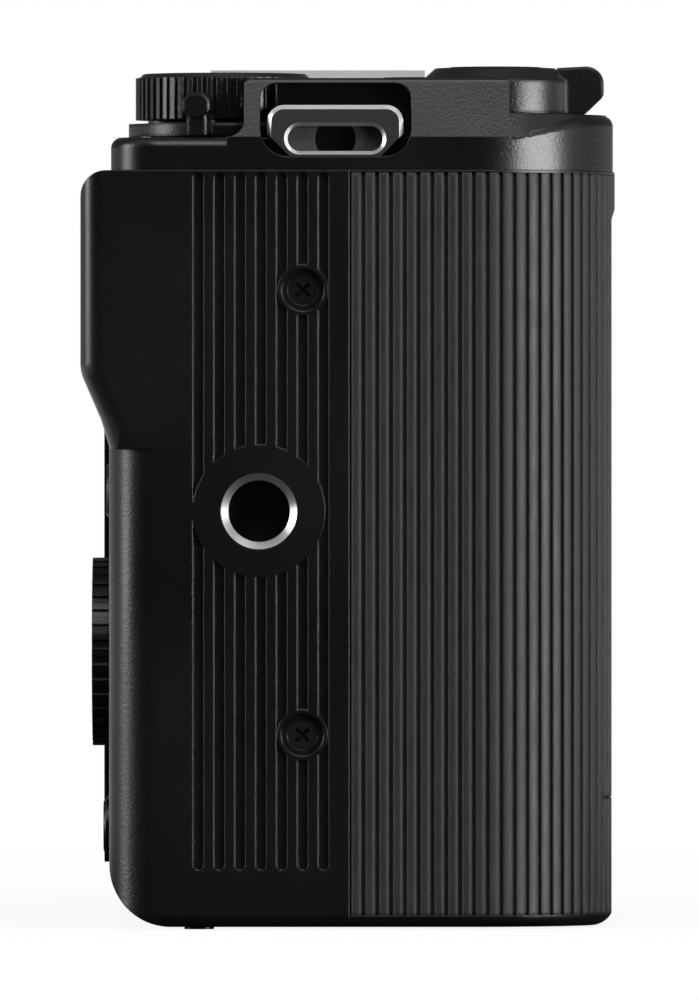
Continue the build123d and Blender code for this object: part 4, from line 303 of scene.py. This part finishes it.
def sprayed(name, colour, rough=0.5, grain=0.00034, depth=0.35, specular=0.5, edge=0.00012):
    """Matt paint or moulded plastic with a fine pebbled grain and slow changes of gloss."""
    material, tree, shader = new_material(name)
    coords = object_coords(tree)
    fine = noise(tree, coords, width=grain, detail=3.0)
    slow = noise(tree, coords, width=0.018, detail=2.0)
    darker = tuple(0.82 * c for c in colour)
    lighter = tuple(1.2 * c for c in colour)
    tree.links.new(tint(tree, spread(tree, fine, 0, 1), darker, lighter), shader.inputs["Base Color"])
    tree.links.new(spread(tree, slow, rough - 0.04, rough + 0.05), shader.inputs["Roughness"])
    shader.inputs["Specular IOR Level"].default_value = specular
    bump(tree, shader, fine, strength=depth, distance=0.00004, after=soft_edges(tree, edge))
    return material


def rubber_finish(name, colour, edge, rough=0.5):
    """Moulded rubber with a soft haze and a faint grain along the flutes."""
    material, tree, shader = new_material(name)
    coords = object_coords(tree)
    fine = noise(tree, coords, width=0.00009, detail=2.0)
    along = noise(tree, coords, width=0.0006, detail=2.0, stretch=(1, 1, 0.25))
    darker = tuple(0.86 * c for c in colour)
    lighter = tuple(1.15 * c for c in colour)
    tree.links.new(tint(tree, spread(tree, along, 0, 1), darker, lighter), shader.inputs["Base Color"])
    tree.links.new(spread(tree, along, rough - 0.05, rough + 0.05), shader.inputs["Roughness"])
    shader.inputs["Specular IOR Level"].default_value = 0.5
    bump(tree, shader, fine, strength=0.3, distance=0.00001, after=soft_edges(tree, edge))
    return material


def turned_metal(name, colour, rough=0.25, width=0.00005, depth=0.2, metallic=1.0):
    """Bright metal with fine tool marks and a little unevenness."""
    material, tree, shader = new_material(name)
    coords = object_coords(tree)
    marks = noise(tree, coords, width=width, detail=1.0, stretch=(1, 0.2, 1))
    slow = noise(tree, coords, width=0.012, detail=2.0)
    darker = tuple(0.93 * c for c in colour)
    tree.links.new(tint(tree, spread(tree, slow, 0, 1), darker, colour), shader.inputs["Base Color"])
    tree.links.new(spread(tree, slow, rough - 0.02, rough + 0.04), shader.inputs["Roughness"])
    shader.inputs["Metallic"].default_value = metallic
    bump(tree, shader, marks, strength=depth, distance=0.000004)
    return material


def lug_with_painted_rim_highlight(name):
    """Dark plated steel whose bevelled rims, the faces that slant away from X, are given bright metal: a
    painted highlight picked by the direction the faces turn.
    """
    material, tree, shader = new_material(name)
    coords = object_coords(tree)
    geometry = tree.nodes.new("ShaderNodeNewGeometry")
    split = tree.nodes.new("ShaderNodeSeparateXYZ")
    tree.links.new(geometry.outputs["Normal"], split.inputs["Vector"])
    side = tree.nodes.new("ShaderNodeMath")
    side.operation = "ABSOLUTE"
    tree.links.new(split.outputs["X"], side.inputs[0])
    # Mask of the slanted rims, by the direction of their normal, for the painted highlight
    rim = tree.nodes.new("ShaderNodeMath")
    rim.operation = "COMPARE"
    slant, tolerance = 0.7, 0.22
    rim.inputs[1].default_value = slant
    rim.inputs[2].default_value = tolerance
    tree.links.new(side.outputs["Value"], rim.inputs[0])
    fine = noise(tree, coords, width=0.0002, detail=2.0)
    face = (0.03, 0.03, 0.03)
    # Bright bare metal on the slanted rims: a painted highlight where the rims catch the light
    worn = (0.86, 0.86, 0.86)
    tree.links.new(tint(tree, rim.outputs["Value"], face, worn), shader.inputs["Base Color"])
    tree.links.new(spread(tree, fine, 0.3, 0.42), shader.inputs["Roughness"])
    tree.links.new(rim.outputs["Value"], shader.inputs["Metallic"])
    return material


def clear_glass(name, colour, rough=0.03):
    """Dark coated glass with a faint smear."""
    material, tree, shader = new_material(name)
    smear = noise(tree, object_coords(tree), width=0.02, detail=2.0)
    tree.links.new(spread(tree, smear, rough, rough + 0.05), shader.inputs["Roughness"])
    shader.inputs["Base Color"].default_value = (*colour, 1)
    shader.inputs["Coat Weight"].default_value = 0.6
    shader.inputs["Coat Roughness"].default_value = 0.03
    return material


def sensor_finish(name):
    """Glossy sensor surface with a faint blue and violet sheen."""
    material, tree, shader = new_material(name)
    slow = noise(tree, object_coords(tree), width=0.012, detail=1.0)
    blue, violet = (0.015, 0.03, 0.05), (0.05, 0.02, 0.06)
    tree.links.new(tint(tree, spread(tree, slow, 0, 1), blue, violet), shader.inputs["Base Color"])
    shader.inputs["Roughness"].default_value = 0.15
    shader.inputs["Coat Weight"].default_value = 0.8
    return material


def board_finish(name):
    """Green circuit board lacquer in two shades."""
    material, tree, shader = new_material(name)
    slow = noise(tree, object_coords(tree), width=0.0012, detail=3.0)
    dark, light = (0.005, 0.03, 0.016), (0.012, 0.07, 0.035)
    tree.links.new(tint(tree, spread(tree, slow, 0, 1), dark, light), shader.inputs["Base Color"])
    shader.inputs["Roughness"].default_value = 0.4
    return material


def print_ink(name, colour):
    """Matt ink with a faint speckle."""
    material, tree, shader = new_material(name)
    speck = noise(tree, object_coords(tree), width=0.0001, detail=2.0)
    darker = tuple(0.8 * c for c in colour)
    tree.links.new(tint(tree, spread(tree, speck, 0, 1), darker, colour), shader.inputs["Base Color"])
    shader.inputs["Roughness"].default_value = 0.6
    return material


MATERIALS = {}
SOFT_CONTROLS = ("zoom_ring", "power_lever")        # nodes with rounder edges than the other controls


def make_materials(settings):
    cover = tuple(settings.cover_colour)
    control = tuple(settings.control_colour)
    grain = settings.grain
    MATERIALS.update({
        "cover": sprayed("cover_paint", cover, rough=0.3, grain=grain, depth=0.4, edge=settings.edge),
        "door_rubber": sprayed("door_rubber", cover, rough=0.6, grain=grain, depth=0.3, edge=settings.edge),
        "grip": rubber_finish("grip_rubber", tuple(settings.grip_colour), settings.grip_edge),
        "black_screw": turned_metal("black_screw", (0.035, 0.035, 0.035), rough=0.4),
        "bright_screw": turned_metal("bright_screw", (0.6, 0.6, 0.6), rough=0.25),
        "bush": turned_metal("bush_steel", (0.86, 0.86, 0.86), rough=0.3),
        # Dark steel for the thread and the floor inside the bushes: painted shade deep in the blind bore
        "bore": turned_metal("bore_steel", (0.06, 0.06, 0.06), rough=0.45),
        "lug": lug_with_painted_rim_highlight("lug_steel"),
        "dial": sprayed("dial_black", control, rough=0.3, grain=grain, depth=0.4, edge=settings.edge),
        "control": sprayed("control_black", control, rough=0.3, grain=grain, depth=0.6, edge=settings.edge),
        "lever": sprayed(
            "lever_black", control, rough=0.3, grain=grain, depth=0.6, edge=settings.lever_edge),
        "lug_plate": sprayed("lug_plate_grey", (0.075, 0.075, 0.075), rough=0.4, grain=grain, depth=0.2),
        "record": sprayed("record_black", control, rough=0.35, grain=grain, depth=0.1),
        "lock": sprayed("lock_amber", (0.4, 0.16, 0.03), rough=0.45),
        "shoe": turned_metal("shoe_steel", (0.78, 0.78, 0.79), rough=0.34, metallic=0.5),
        "black_metal": sprayed("black_metal", (0.012, 0.012, 0.012), rough=0.38, grain=grain, depth=0.2),
        "gold": turned_metal("gold_plate", (0.83, 0.6, 0.25), rough=0.22),
        "mount": turned_metal("mount_steel", (0.68, 0.68, 0.69), rough=0.22),
        "lamp": clear_glass("lamp_red", (0.09, 0.004, 0.003), rough=0.08),
        "inner_black": sprayed(
            "inner_black", (0.006, 0.006, 0.006), rough=0.75, grain=grain, depth=0.3, specular=0.2),
        "frame_alloy": turned_metal("frame_alloy", (0.45, 0.45, 0.46), rough=0.4),
        "blade": sprayed("blade_black", (0.012, 0.012, 0.012), rough=0.45),
        "filter_glass": clear_glass("filter_glass", (0.02, 0.05, 0.05)),
        "sensor": sensor_finish("sensor_face"),
        "board": board_finish("board_green"),
        "battery": sprayed("battery_case", (0.03, 0.03, 0.034), rough=0.5),
        "tin": turned_metal("tin_plate", (0.55, 0.55, 0.53), rough=0.3),
        "screen_glass": clear_glass("screen_glass", (0.006, 0.006, 0.007)),
        "panel": clear_glass("panel_black", (0.004, 0.004, 0.005), rough=0.1),
        "ink": print_ink("mark_ink", tuple(settings.mark_colour)),
        "red_ink": print_ink("red_ink", tuple(settings.record_colour)),
        # Flat black for the grille's discs: painted shade standing for the holes
        "hole": sprayed(
            "hole_black", (0.002, 0.002, 0.002), rough=0.9, grain=grain, depth=0.1, specular=0.1),
    })


# Mesh helpers

def finish_piece(mesh_data, name, material, body="body", smooth=True):
    """Links a mesh as a piece that rides on a body."""
    piece = bpy.data.objects.new(name, mesh_data)
    bpy.context.scene.collection.objects.link(piece)
    mesh_data.materials.clear()
    mesh_data.materials.append(MATERIALS[material])
    for face in mesh_data.polygons:
        face.use_smooth = smooth
    if smooth:
        with bpy.context.temp_override(object=piece, active_object=piece, selected_editable_objects=[piece]):
            bpy.ops.object.shade_smooth_by_angle(angle=math.radians(35))
    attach(piece, body)
    return piece


def to_mesh(bm, name):
    bmesh.ops.remove_doubles(bm, verts=bm.verts, dist=1e-7)
    bmesh.ops.recalc_face_normals(bm, faces=bm.faces)
    data = bpy.data.meshes.new(name)
    bm.to_mesh(data)
    bm.free()
    return data


def lathe(bm, profile, steps, close=False):
    """Spins (radius, height) points round Z."""
    verts = [bm.verts.new((radius, 0, height)) for radius, height in profile]
    pairs = list(zip(verts, verts[1:]))
    if close:
        pairs.append((verts[-1], verts[0]))
    edges = [bm.edges.new(pair) for pair in pairs]
    bmesh.ops.spin(
        bm, geom=verts + edges, cent=(0, 0, 0), axis=(0, 0, 1), dvec=(0, 0, 0),
        angle=math.tau, steps=steps, use_merge=True, use_duplicate=False)


def bush_mesh(name, settings, inner, outer, flange, neck, depth, floor):
    """A blind threaded bush with its mouth at the origin, going up Z."""
    bm = bmesh.new()
    lip = settings.lip
    core = settings.major
    crest = settings.pitch * 0.1
    rise = settings.pitch * 0.46
    lathe(bm, [
        (0, depth), (core, depth), (core, lip + settings.undercut), (inner, lip),
        (outer, 0), (outer, neck), (flange, neck), (flange, depth + floor), (0, depth + floor),
    ], settings.steps)
    turns = int((depth - lip) / settings.pitch) - 0.5
    start = lip + settings.undercut
    verts = [
        bm.verts.new((core + settings.overlap, 0, start)),
        bm.verts.new((inner, 0, start + rise - crest)),
        bm.verts.new((inner, 0, start + rise + crest)),
        bm.verts.new((core + settings.overlap, 0, start + 2 * rise)),
    ]
    edges = [bm.edges.new(pair) for pair in zip(verts, verts[1:] + verts[:1])]
    steps = int(turns * settings.steps / 2)
    bmesh.ops.spin(
        bm, geom=verts + edges, cent=(0, 0, 0), axis=(0, 0, 1),
        dvec=(0, 0, settings.pitch * turns / steps), angle=math.tau * turns, steps=steps)
    bmesh.ops.holes_fill(bm, edges=[edge for edge in bm.edges if edge.is_boundary], sides=4)
    return to_mesh(bm, name)


def disc(name, radius, height, centre, steps=32):
    bm = bmesh.new()
    bmesh.ops.create_cone(
        bm, cap_ends=True, segments=steps, radius1=radius, radius2=radius, depth=height,
        matrix=Matrix.Translation(centre))
    return to_mesh(bm, name)


def text_mesh(body, size, ink, matrix):
    """Printed letters as a thin mesh."""
    curve = bpy.data.curves.new("print", "FONT")
    curve.body = body
    curve.size = size
    curve.extrude = ink
    curve.align_x = "CENTER"
    curve.align_y = "CENTER"
    holder = bpy.data.objects.new("print", curve)
    bpy.context.scene.collection.objects.link(holder)
    bpy.context.view_layer.update()
    shape = bpy.data.meshes.new_from_object(holder.evaluated_get(bpy.context.evaluated_depsgraph_get()))
    bpy.data.objects.remove(holder)
    shape.transform(matrix)
    return shape


def join_meshes(name, parts):
    bm = bmesh.new()
    for part in parts:
        bm.from_mesh(part)
    data = bpy.data.meshes.new(name)
    bm.to_mesh(data)
    bm.free()
    return data


def ring_mesh(inner, outer, height, matrix, steps=48):
    bm = bmesh.new()
    lathe(bm, [(inner, 0), (outer, 0), (outer, height), (inner, height)], steps, close=True)
    bmesh.ops.transform(bm, matrix=matrix, verts=bm.verts)
    return to_mesh(bm, "ring")


def centre_of(node):
    low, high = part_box(node)
    return (Vector(low) + Vector(high)) / 2


def facing(direction, up=(0, 0, 1)):
    """Turns a flat drawing in XY so that it faces a direction, with its top towards up."""
    z = Vector(direction).normalized()
    x = Vector(up).cross(z).normalized()
    y = z.cross(x)
    return Matrix((x, y, z)).transposed().to_4x4()


# Operators

class CAMERABODY_OT_finishes(bpy.types.Operator):
    """Gives every node its finish"""
    bl_idname = "camerabody.finishes"
    bl_label = "Finish the covers and parts"

    def execute(self, context):
        make_materials(context.scene.finish_settings)
        slots = {part["node"]: part["material_slot"] for part in frame["record"]["subparts"]}
        for name, node in NODES.items():
            node.data.materials.clear()
            finish = "lever" if name in SOFT_CONTROLS else slots[name]
            node.data.materials.append(MATERIALS[finish])
        return {"FINISHED"}


class CAMERABODY_OT_bushes(bpy.types.Operator):
    """Turns the two tripod bushes with their spiral threads"""
    bl_idname = "camerabody.bushes"
    bl_label = "Tripod bushes"

    def execute(self, context):
        settings = context.scene.thread_settings
        mounts = {m["name"]: m for m in frame["record"]["mounts"]}
        for node, mount in (("side_tripod_bush", "side_thread"), ("base_tripod_bush", "base_thread")):
            low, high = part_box(node)
            full, _, width = sorted(Vector(high) - Vector(low))
            flange = width / 2
            inner = mounts[mount]["dims"]["r_mm"] * MM
            depth = mounts[mount]["dims"]["length_mm"] * MM
            data = bush_mesh(
                node + "_thread", settings, inner, BUSH_MOUTH_RADIUS, flange, BUSH_NECK_LENGTH,
                depth, full - depth)
            inward = -Vector(mounts[mount]["axis"])
            turn = Vector((0, 0, 1)).rotation_difference(inward).to_matrix().to_4x4()
            data.transform(Matrix.Translation(mounts[mount]["pos_m"]) @ turn)
            centre = Vector(mounts[mount]["pos_m"])
            piece = finish_piece(data, node + "_threaded", "bush")
            # Faces inside the bore, past the bright mouth, take the dark steel: painted shade in the hole
            data.materials.append(MATERIALS["bore"])
            for face in data.polygons:
                along = (face.center - centre).dot(inward)
                out = (face.center - centre - along * inward).length
                if 0.9 * settings.lip < along < depth + settings.lip / 2 and out < settings.major:
                    face.material_index = 1
            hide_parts(node)
        return {"FINISHED"}


class CAMERABODY_OT_lug_pads(bpy.types.Operator):
    """Lays a plate with a round hole behind each strap lug"""
    bl_idname = "camerabody.lug_pads"
    bl_label = "Lug plates"

    def execute(self, context):
        settings = context.scene.lug_settings
        low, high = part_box("strap_lugs")
        centre_y = (low[1] + high[1]) / 2
        half_y = (high[1] - low[1]) / 2 - settings.inset
        for side, x, sign in (("right", low[0], 1), ("left", high[0], -1)):
            place = Vector((x + sign * settings.depth, centre_y, low[2] + settings.slot_height))
            bm = bmesh.new()
            outline = bmesh.ops.create_circle(bm, cap_ends=False, segments=48, radius=1)["verts"]
            for vert in outline:
                square = 1 / max(abs(vert.co.x), abs(vert.co.y))
                vert.co.x *= square * half_y
                vert.co.y *= square * settings.half_height
            rim = list(bm.edges)
            hole = bmesh.ops.create_circle(bm, cap_ends=False, segments=48, radius=settings.hole)["verts"]
            rim += list({edge for vert in hole for edge in vert.link_edges})
            sheet = bmesh.ops.bridge_loops(bm, edges=rim)["faces"]
            bmesh.ops.solidify(bm, geom=sheet, thickness=settings.thickness)
            turn = facing((-sign, 0, 0))
            bmesh.ops.transform(bm, matrix=Matrix.Translation(place) @ turn, verts=bm.verts)
            finish_piece(to_mesh(bm, "lug_plate"), "lug_plate_" + side, "lug_plate")
        return {"FINISHED"}


class CAMERABODY_OT_marks(bpy.types.Operator):
    """Prints the plain marks on the controls"""
    bl_idname = "camerabody.marks"
    bl_label = "Printed marks"

    def execute(self, context):
        settings = context.scene.mark_settings
        ink = settings.ink
        size = settings.text_size
        up = Vector((0, 0, 1))
        forward = Vector((0, -1, 0))

        # Numbers round the mode dial, which turn with it
        centre = centre_of("mode_dial")
        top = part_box("mode_dial")[1][2]
        figures = []
        for index in range(FIGURE_COUNT):
            angle = index * math.tau / FIGURE_COUNT
            place = Matrix.Translation((centre[0], centre[1], top)) @ Matrix.Rotation(-angle, 4, "Z")
            outward = place @ Matrix.Translation((0, FIGURE_RADIUS, 0))
            upright = outward @ Matrix.Rotation(math.pi, 4, "Z")
            figures.append(text_mesh(str(index + 1), size * FIGURE_SCALE, ink, upright))
        finish_piece(join_meshes("mode_figures", figures), "mode_figures", "ink", "mode_dial", smooth=False)

        # Record dots
        for node, face in (("record_button", up), ("front_record_button", forward)):
            low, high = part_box(node)
            spot = centre_of(node)
            if face == up:
                spot.z = high[2]
            else:
                spot.y = low[1]
            turn = up.rotation_difference(face).to_matrix().to_4x4()
            dot = disc(node + "_dot", RECORD_DOT_RADIUS, 2 * ink, (0, 0, -0.8 * ink))
            dot.transform(Matrix.Translation(spot) @ turn)
            finish_piece(dot, node + "_dot", "red_ink", node, smooth=False)

        # Switch words and the sensor plane mark on the top cover
        words = []
        for word, x, y, degrees in SWITCH_WORDS:
            place = Matrix.Translation((x * MM, y * MM, SHELF_Z))
            turn = Matrix.Rotation(math.radians(degrees), 4, "Z")
            words.append(text_mesh(word, size * WORD_SCALE, ink, place @ turn))
        finish_piece(join_meshes("switch_words", words), "switch_words", "ink", smooth=False)
        plane = Matrix.Translation((PLANE_MARK_X, PLANE_MARK_Y, BLOCK_Z))
        bar = bmesh.new()
        bmesh.ops.create_cube(bar, size=1, matrix=plane @ Matrix.Diagonal((*PLANE_BAR, 2 * ink, 1)))
        mark = [ring_mesh(*PLANE_RING, ink, plane), to_mesh(bar, "bar")]
        finish_piece(join_meshes("plane_mark", mark), "plane_mark", "ink", smooth=False)

        # Red dot for lining up a lens
        low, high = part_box("lens_mount_ring")
        dot = disc("mount_dot", MOUNT_DOT_RADIUS, 2 * ink, (0, 0, 0))
        optical_z = (low[2] + high[2]) / 2
        spot = Vector((0, low[1], optical_z + MOUNT_DOT_HEIGHT))
        dot.transform(Matrix.Translation(spot) @ up.rotation_difference(forward).to_matrix().to_4x4())
        finish_piece(dot, "mount_dot", "red_ink", smooth=False)
        return {"FINISHED"}


class CAMERABODY_OT_button_icons(bpy.types.Operator):
    """Prints plain icons on the rear buttons, which travel with them"""
    bl_idname = "camerabody.button_icons"
    bl_label = "Button icons"

    def execute(self, context):
        settings = context.scene.mark_settings
        stroke = settings.icon_stroke
        size = settings.icon_size
        bars = [(0, step * size / 3, size, stroke) for step in (-1, 0, 1)]
        bin_walls = [(side * size * 0.36, -size * 0.08, stroke, size * 0.7) for side in (-1, 1)]
        bin_floor = [(0, -size * 0.43, size * 0.72 + stroke, stroke)]
        bin_lid = [(0, size * 0.34, size, stroke), (0, size * 0.5, size * 0.3, stroke)]
        self.icon("menu_button", [self.bar(settings.ink, *bar) for bar in bars])
        self.icon("delete_button", [self.bar(settings.ink, *bar) for bar in bin_walls + bin_floor + bin_lid])
        arrow = bmesh.new()
        bmesh.ops.create_cone(
            arrow, cap_ends=True, segments=3, radius1=size * 0.55, radius2=size * 0.55, depth=settings.ink,
            matrix=Matrix.Rotation(-math.pi / 2, 4, "Z"))
        self.icon("play_button", [to_mesh(arrow, "arrow")])
        self.icon("set_button", [ring_mesh(size * 0.32, size * 0.32 + stroke, settings.ink / 2, Matrix())])
        return {"FINISHED"}

    def bar(self, ink, x, y, width, height):
        bm = bmesh.new()
        bmesh.ops.create_cube(
            bm, size=1, matrix=Matrix.Translation((x, y, 0)) @ Matrix.Diagonal((width, height, ink, 1)))
        return to_mesh(bm, "bar")

    def icon(self, button, shapes):
        low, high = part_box(button)
        centre = centre_of(button)
        drawing = join_meshes(button + "_icon", shapes)
        drawing.transform(Matrix.Translation((centre[0], high[1], centre[2])) @ facing((0, 1, 0)))
        finish_piece(drawing, button + "_icon", "ink", button, smooth=False)


class CAMERABODY_OT_grilles(bpy.types.Operator):
    """Sets the microphone grilles into the top cover, with black discs as painted shade for the holes"""
    bl_idname = "camerabody.grilles"
    bl_label = "Microphone grilles"

    def execute(self, context):
        low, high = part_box("microphones")
        y = (low[1] + high[1]) / 2
        for number, x in enumerate((low[0] + GRILLE_INSET, high[0] - GRILLE_INSET), start=1):
            seat = Matrix.Translation((x, y, BLOCK_Z - GRILLE_RIM_SUNK))
            rim = ring_mesh(*GRILLE_RIM, GRILLE_RIM_HEIGHT, seat)
            finish_piece(rim, f"grille_rim_{number}", "black_metal")
            # Black discs through the cover's surface: painted shade in place of the holes
            holes = []
            for radius, count in GRILLE_RINGS:
                for index in range(count):
                    angle = index * math.tau / count
                    spot = (x + radius * math.cos(angle), y + radius * math.sin(angle), BLOCK_Z)
                    holes.append(disc("hole", GRILLE_SHADE_DISC_RADIUS, GRILLE_SHADE_DISC_HEIGHT, spot, 12))
            finish_piece(join_meshes("grille_holes", holes), f"grille_holes_{number}", "hole", smooth=False)
        return {"FINISHED"}


class CAMERABODY_OT_stage(bpy.types.Operator):
    """Sets the floor, the backdrop, the lights and the camera"""
    bl_idname = "camerabody.stage"
    bl_label = "Studio"

    def execute(self, context):
        settings = context.scene.stage_settings
        scene = context.scene
        aim = Vector((CAD_BOX[0][0], VIEW_CENTRE_Y, VIEW_CENTRE_Z))

        camera_data = bpy.data.cameras.new("camera")
        camera_data.sensor_fit = "VERTICAL"
        camera_data.sensor_height = SENSOR_MM
        camera_data.lens = SENSOR_MM * settings.distance / settings.view_height
        camera_data.clip_end = FAR_CLIP
        camera = bpy.data.objects.new("camera", camera_data)
        camera.matrix_world = Matrix.Translation(aim - Vector((settings.distance, 0, 0))) @ facing((-1, 0, 0))
        scene.collection.objects.link(camera)
        scene.camera = camera

        floor_bm = bmesh.new()
        bmesh.ops.create_grid(floor_bm, x_segments=2, y_segments=2, size=FLOOR_HALF)
        floor_data = bpy.data.meshes.new("floor")
        floor_bm.to_mesh(floor_data)
        floor_bm.free()
        floor = bpy.data.objects.new("floor", floor_data)
        scene.collection.objects.link(floor)
        floor_data.materials.append(self.floor_material(settings))

        for name, place, size, power in LIGHTS:
            self.light(name, place, size, getattr(settings, power))
        self.world(scene, settings)
        scene.view_settings.view_transform = "Standard"
        return {"FINISHED"}

    def light(self, name, place, size, power):
        data = bpy.data.lights.new(name, "AREA")
        data.shape = "RECTANGLE"
        data.size, data.size_y = size
        data.energy = power
        lamp = bpy.data.objects.new(name, data)
        lamp.matrix_world = Matrix.Translation(place) @ facing(Vector(place) - Vector(LIGHT_TARGET))
        bpy.context.scene.collection.objects.link(lamp)

    def maths(self, tree, operation, first, second):
        """Joins two numbers or sockets with a maths node."""
        node = tree.nodes.new("ShaderNodeMath")
        node.operation = operation
        for socket, value in zip(node.inputs, (first, second)):
            if isinstance(value, (int, float)):
                socket.default_value = value
            else:
                tree.links.new(value, socket)
        return node.outputs["Value"]

    def ramp(self, tree, value, start, end, low, high):
        """Runs smoothly from low to high while the value goes from start to end."""
        node = tree.nodes.new("ShaderNodeMapRange")
        node.interpolation_type = "SMOOTHSTEP"
        for name, number in (("From Min", start), ("From Max", end), ("To Min", low), ("To Max", high)):
            node.inputs[name].default_value = number
        tree.links.new(value, node.inputs["Value"])
        return node.outputs["Result"]

    def indirect_rays(self, tree, paths):
        """1 for the rays that a glossy or a clear surface sends on."""
        return self.maths(
            tree, "MAXIMUM", paths.outputs["Is Glossy Ray"], paths.outputs["Is Transmission Ray"])

    def floor_material(self, settings):
        """A floor that looks white, with the object's shadow on it, and is dim on the picture's side."""
        material, tree, shader = new_material("floor_white")
        coords = object_coords(tree)
        split = tree.nodes.new("ShaderNodeSeparateXYZ")
        tree.links.new(coords, split.inputs["Vector"])
        length = tree.nodes.new("ShaderNodeVectorMath")
        length.operation = "LENGTH"
        tree.links.new(coords, length.inputs[0])
        side = self.ramp(
            tree, split.outputs["X"], start=-0.07, end=-0.05, low=settings.dark_side, high=1.0)
        far = self.ramp(tree, length.outputs["Value"], start=0.06, end=0.15, low=0.0, high=1.0)
        zone = self.maths(tree, "MULTIPLY", side, far)
        paths = tree.nodes.new("ShaderNodeLightPath")
        indirect = self.indirect_rays(tree, paths)
        mirrored = self.maths(tree, "MULTIPLY", indirect, self.maths(tree, "MULTIPLY", zone, 0.9))
        under = self.ramp(tree, length.outputs["Value"], start=0.12, end=0.4, low=0.9, high=1.0)
        direct = self.maths(tree, "MULTIPLY", paths.outputs["Is Camera Ray"], under)
        bounce = self.maths(tree, "MAXIMUM", zone, settings.contact)
        lit = self.maths(tree, "MAXIMUM", bounce, paths.outputs["Is Camera Ray"])
        tree.links.new(tint(tree, lit, (0, 0, 0), FLOOR_WHITE), shader.inputs["Base Color"])
        shader.inputs["Roughness"].default_value = 0.9
        shader.inputs["Specular IOR Level"].default_value = 0.0
        glow = tree.nodes.new("ShaderNodeEmission")
        mix = tree.nodes.new("ShaderNodeMixShader")
        tree.links.new(self.maths(tree, "MAXIMUM", mirrored, direct), mix.inputs["Fac"])
        tree.links.new(shader.outputs["BSDF"], mix.inputs[1])
        tree.links.new(glow.outputs["Emission"], mix.inputs[2])
        tree.links.new(mix.outputs["Shader"], tree.nodes["Material Output"].inputs["Surface"])
        return material

    def world(self, scene, settings):
        """White behind the object, dimmer at the sides and dark behind the picture's camera."""
        world = bpy.data.worlds.new("studio")
        world.use_nodes = True
        tree = world.node_tree
        background = tree.nodes["Background"]
        background.inputs["Color"].default_value = (1, 1, 1, 1)
        split = tree.nodes.new("ShaderNodeSeparateXYZ")
        tree.links.new(tree.nodes.new("ShaderNodeTexCoord").outputs["Generated"], split.inputs["Vector"])
        across = split.outputs["X"]
        wing = settings.wing_sky / settings.side_sky
        rise = self.ramp(tree, across, start=-0.8, end=-0.4, low=settings.dark_side, high=settings.side_sky)
        fall = self.ramp(tree, across, start=0.0, end=0.3, low=1.0, high=wing)
        behind = self.ramp(tree, across, start=0.96, end=0.99, low=0.0, high=1.0)
        mirrored = self.maths(tree, "MAXIMUM", self.maths(tree, "MULTIPLY", rise, fall), behind)
        tent = self.ramp(tree, across, start=-0.8, end=-0.15, low=settings.dark_side, high=1.0)
        paths = tree.nodes.new("ShaderNodeLightPath")
        indirect = self.indirect_rays(tree, paths)
        direct = self.maths(tree, "SUBTRACT", 1.0, indirect)
        light = self.maths(tree, "MULTIPLY", self.maths(tree, "MULTIPLY", tent, settings.sky), direct)
        shown = self.maths(tree, "ADD", light, self.maths(tree, "MULTIPLY", indirect, mirrored))
        strength = self.maths(tree, "MAXIMUM", shown, paths.outputs["Is Camera Ray"])
        tree.links.new(strength, background.inputs["Strength"])
        scene.world = world


class CAMERABODY_PT_panel(bpy.types.Panel):
    bl_label = "Camera body"
    bl_space_type = "VIEW_3D"
    bl_region_type = "UI"
    bl_category = "Camera body"

    def draw(self, context):
        column = self.layout.column()
        for operator in OPERATORS:
            column.operator(operator.bl_idname)


OPERATORS = (
    CAMERABODY_OT_finishes, CAMERABODY_OT_bushes, CAMERABODY_OT_lug_pads,
    CAMERABODY_OT_marks, CAMERABODY_OT_button_icons, CAMERABODY_OT_grilles, CAMERABODY_OT_stage,
)
SETTINGS = {
    "finish_settings": FinishSettings,
    "thread_settings": ThreadSettings,
    "lug_settings": LugSettings,
    "mark_settings": MarkSettings,
    "stage_settings": StageSettings,
}


def register():
    for name, group in SETTINGS.items():
        bpy.utils.register_class(group)
        setattr(bpy.types.Scene, name, bpy.props.PointerProperty(type=group))
    for operator in OPERATORS:
        bpy.utils.register_class(operator)
    bpy.utils.register_class(CAMERABODY_PT_panel)


def unregister():
    bpy.utils.unregister_class(CAMERABODY_PT_panel)
    for operator in reversed(OPERATORS):
        bpy.utils.unregister_class(operator)
    for name, group in SETTINGS.items():
        delattr(bpy.types.Scene, name)
        bpy.utils.unregister_class(group)


def main():
    register()
    for operator in OPERATORS:
        group, name = operator.bl_idname.split(".")
        getattr(getattr(bpy.ops, group), name)()


if __name__ == "__main__":
    main()
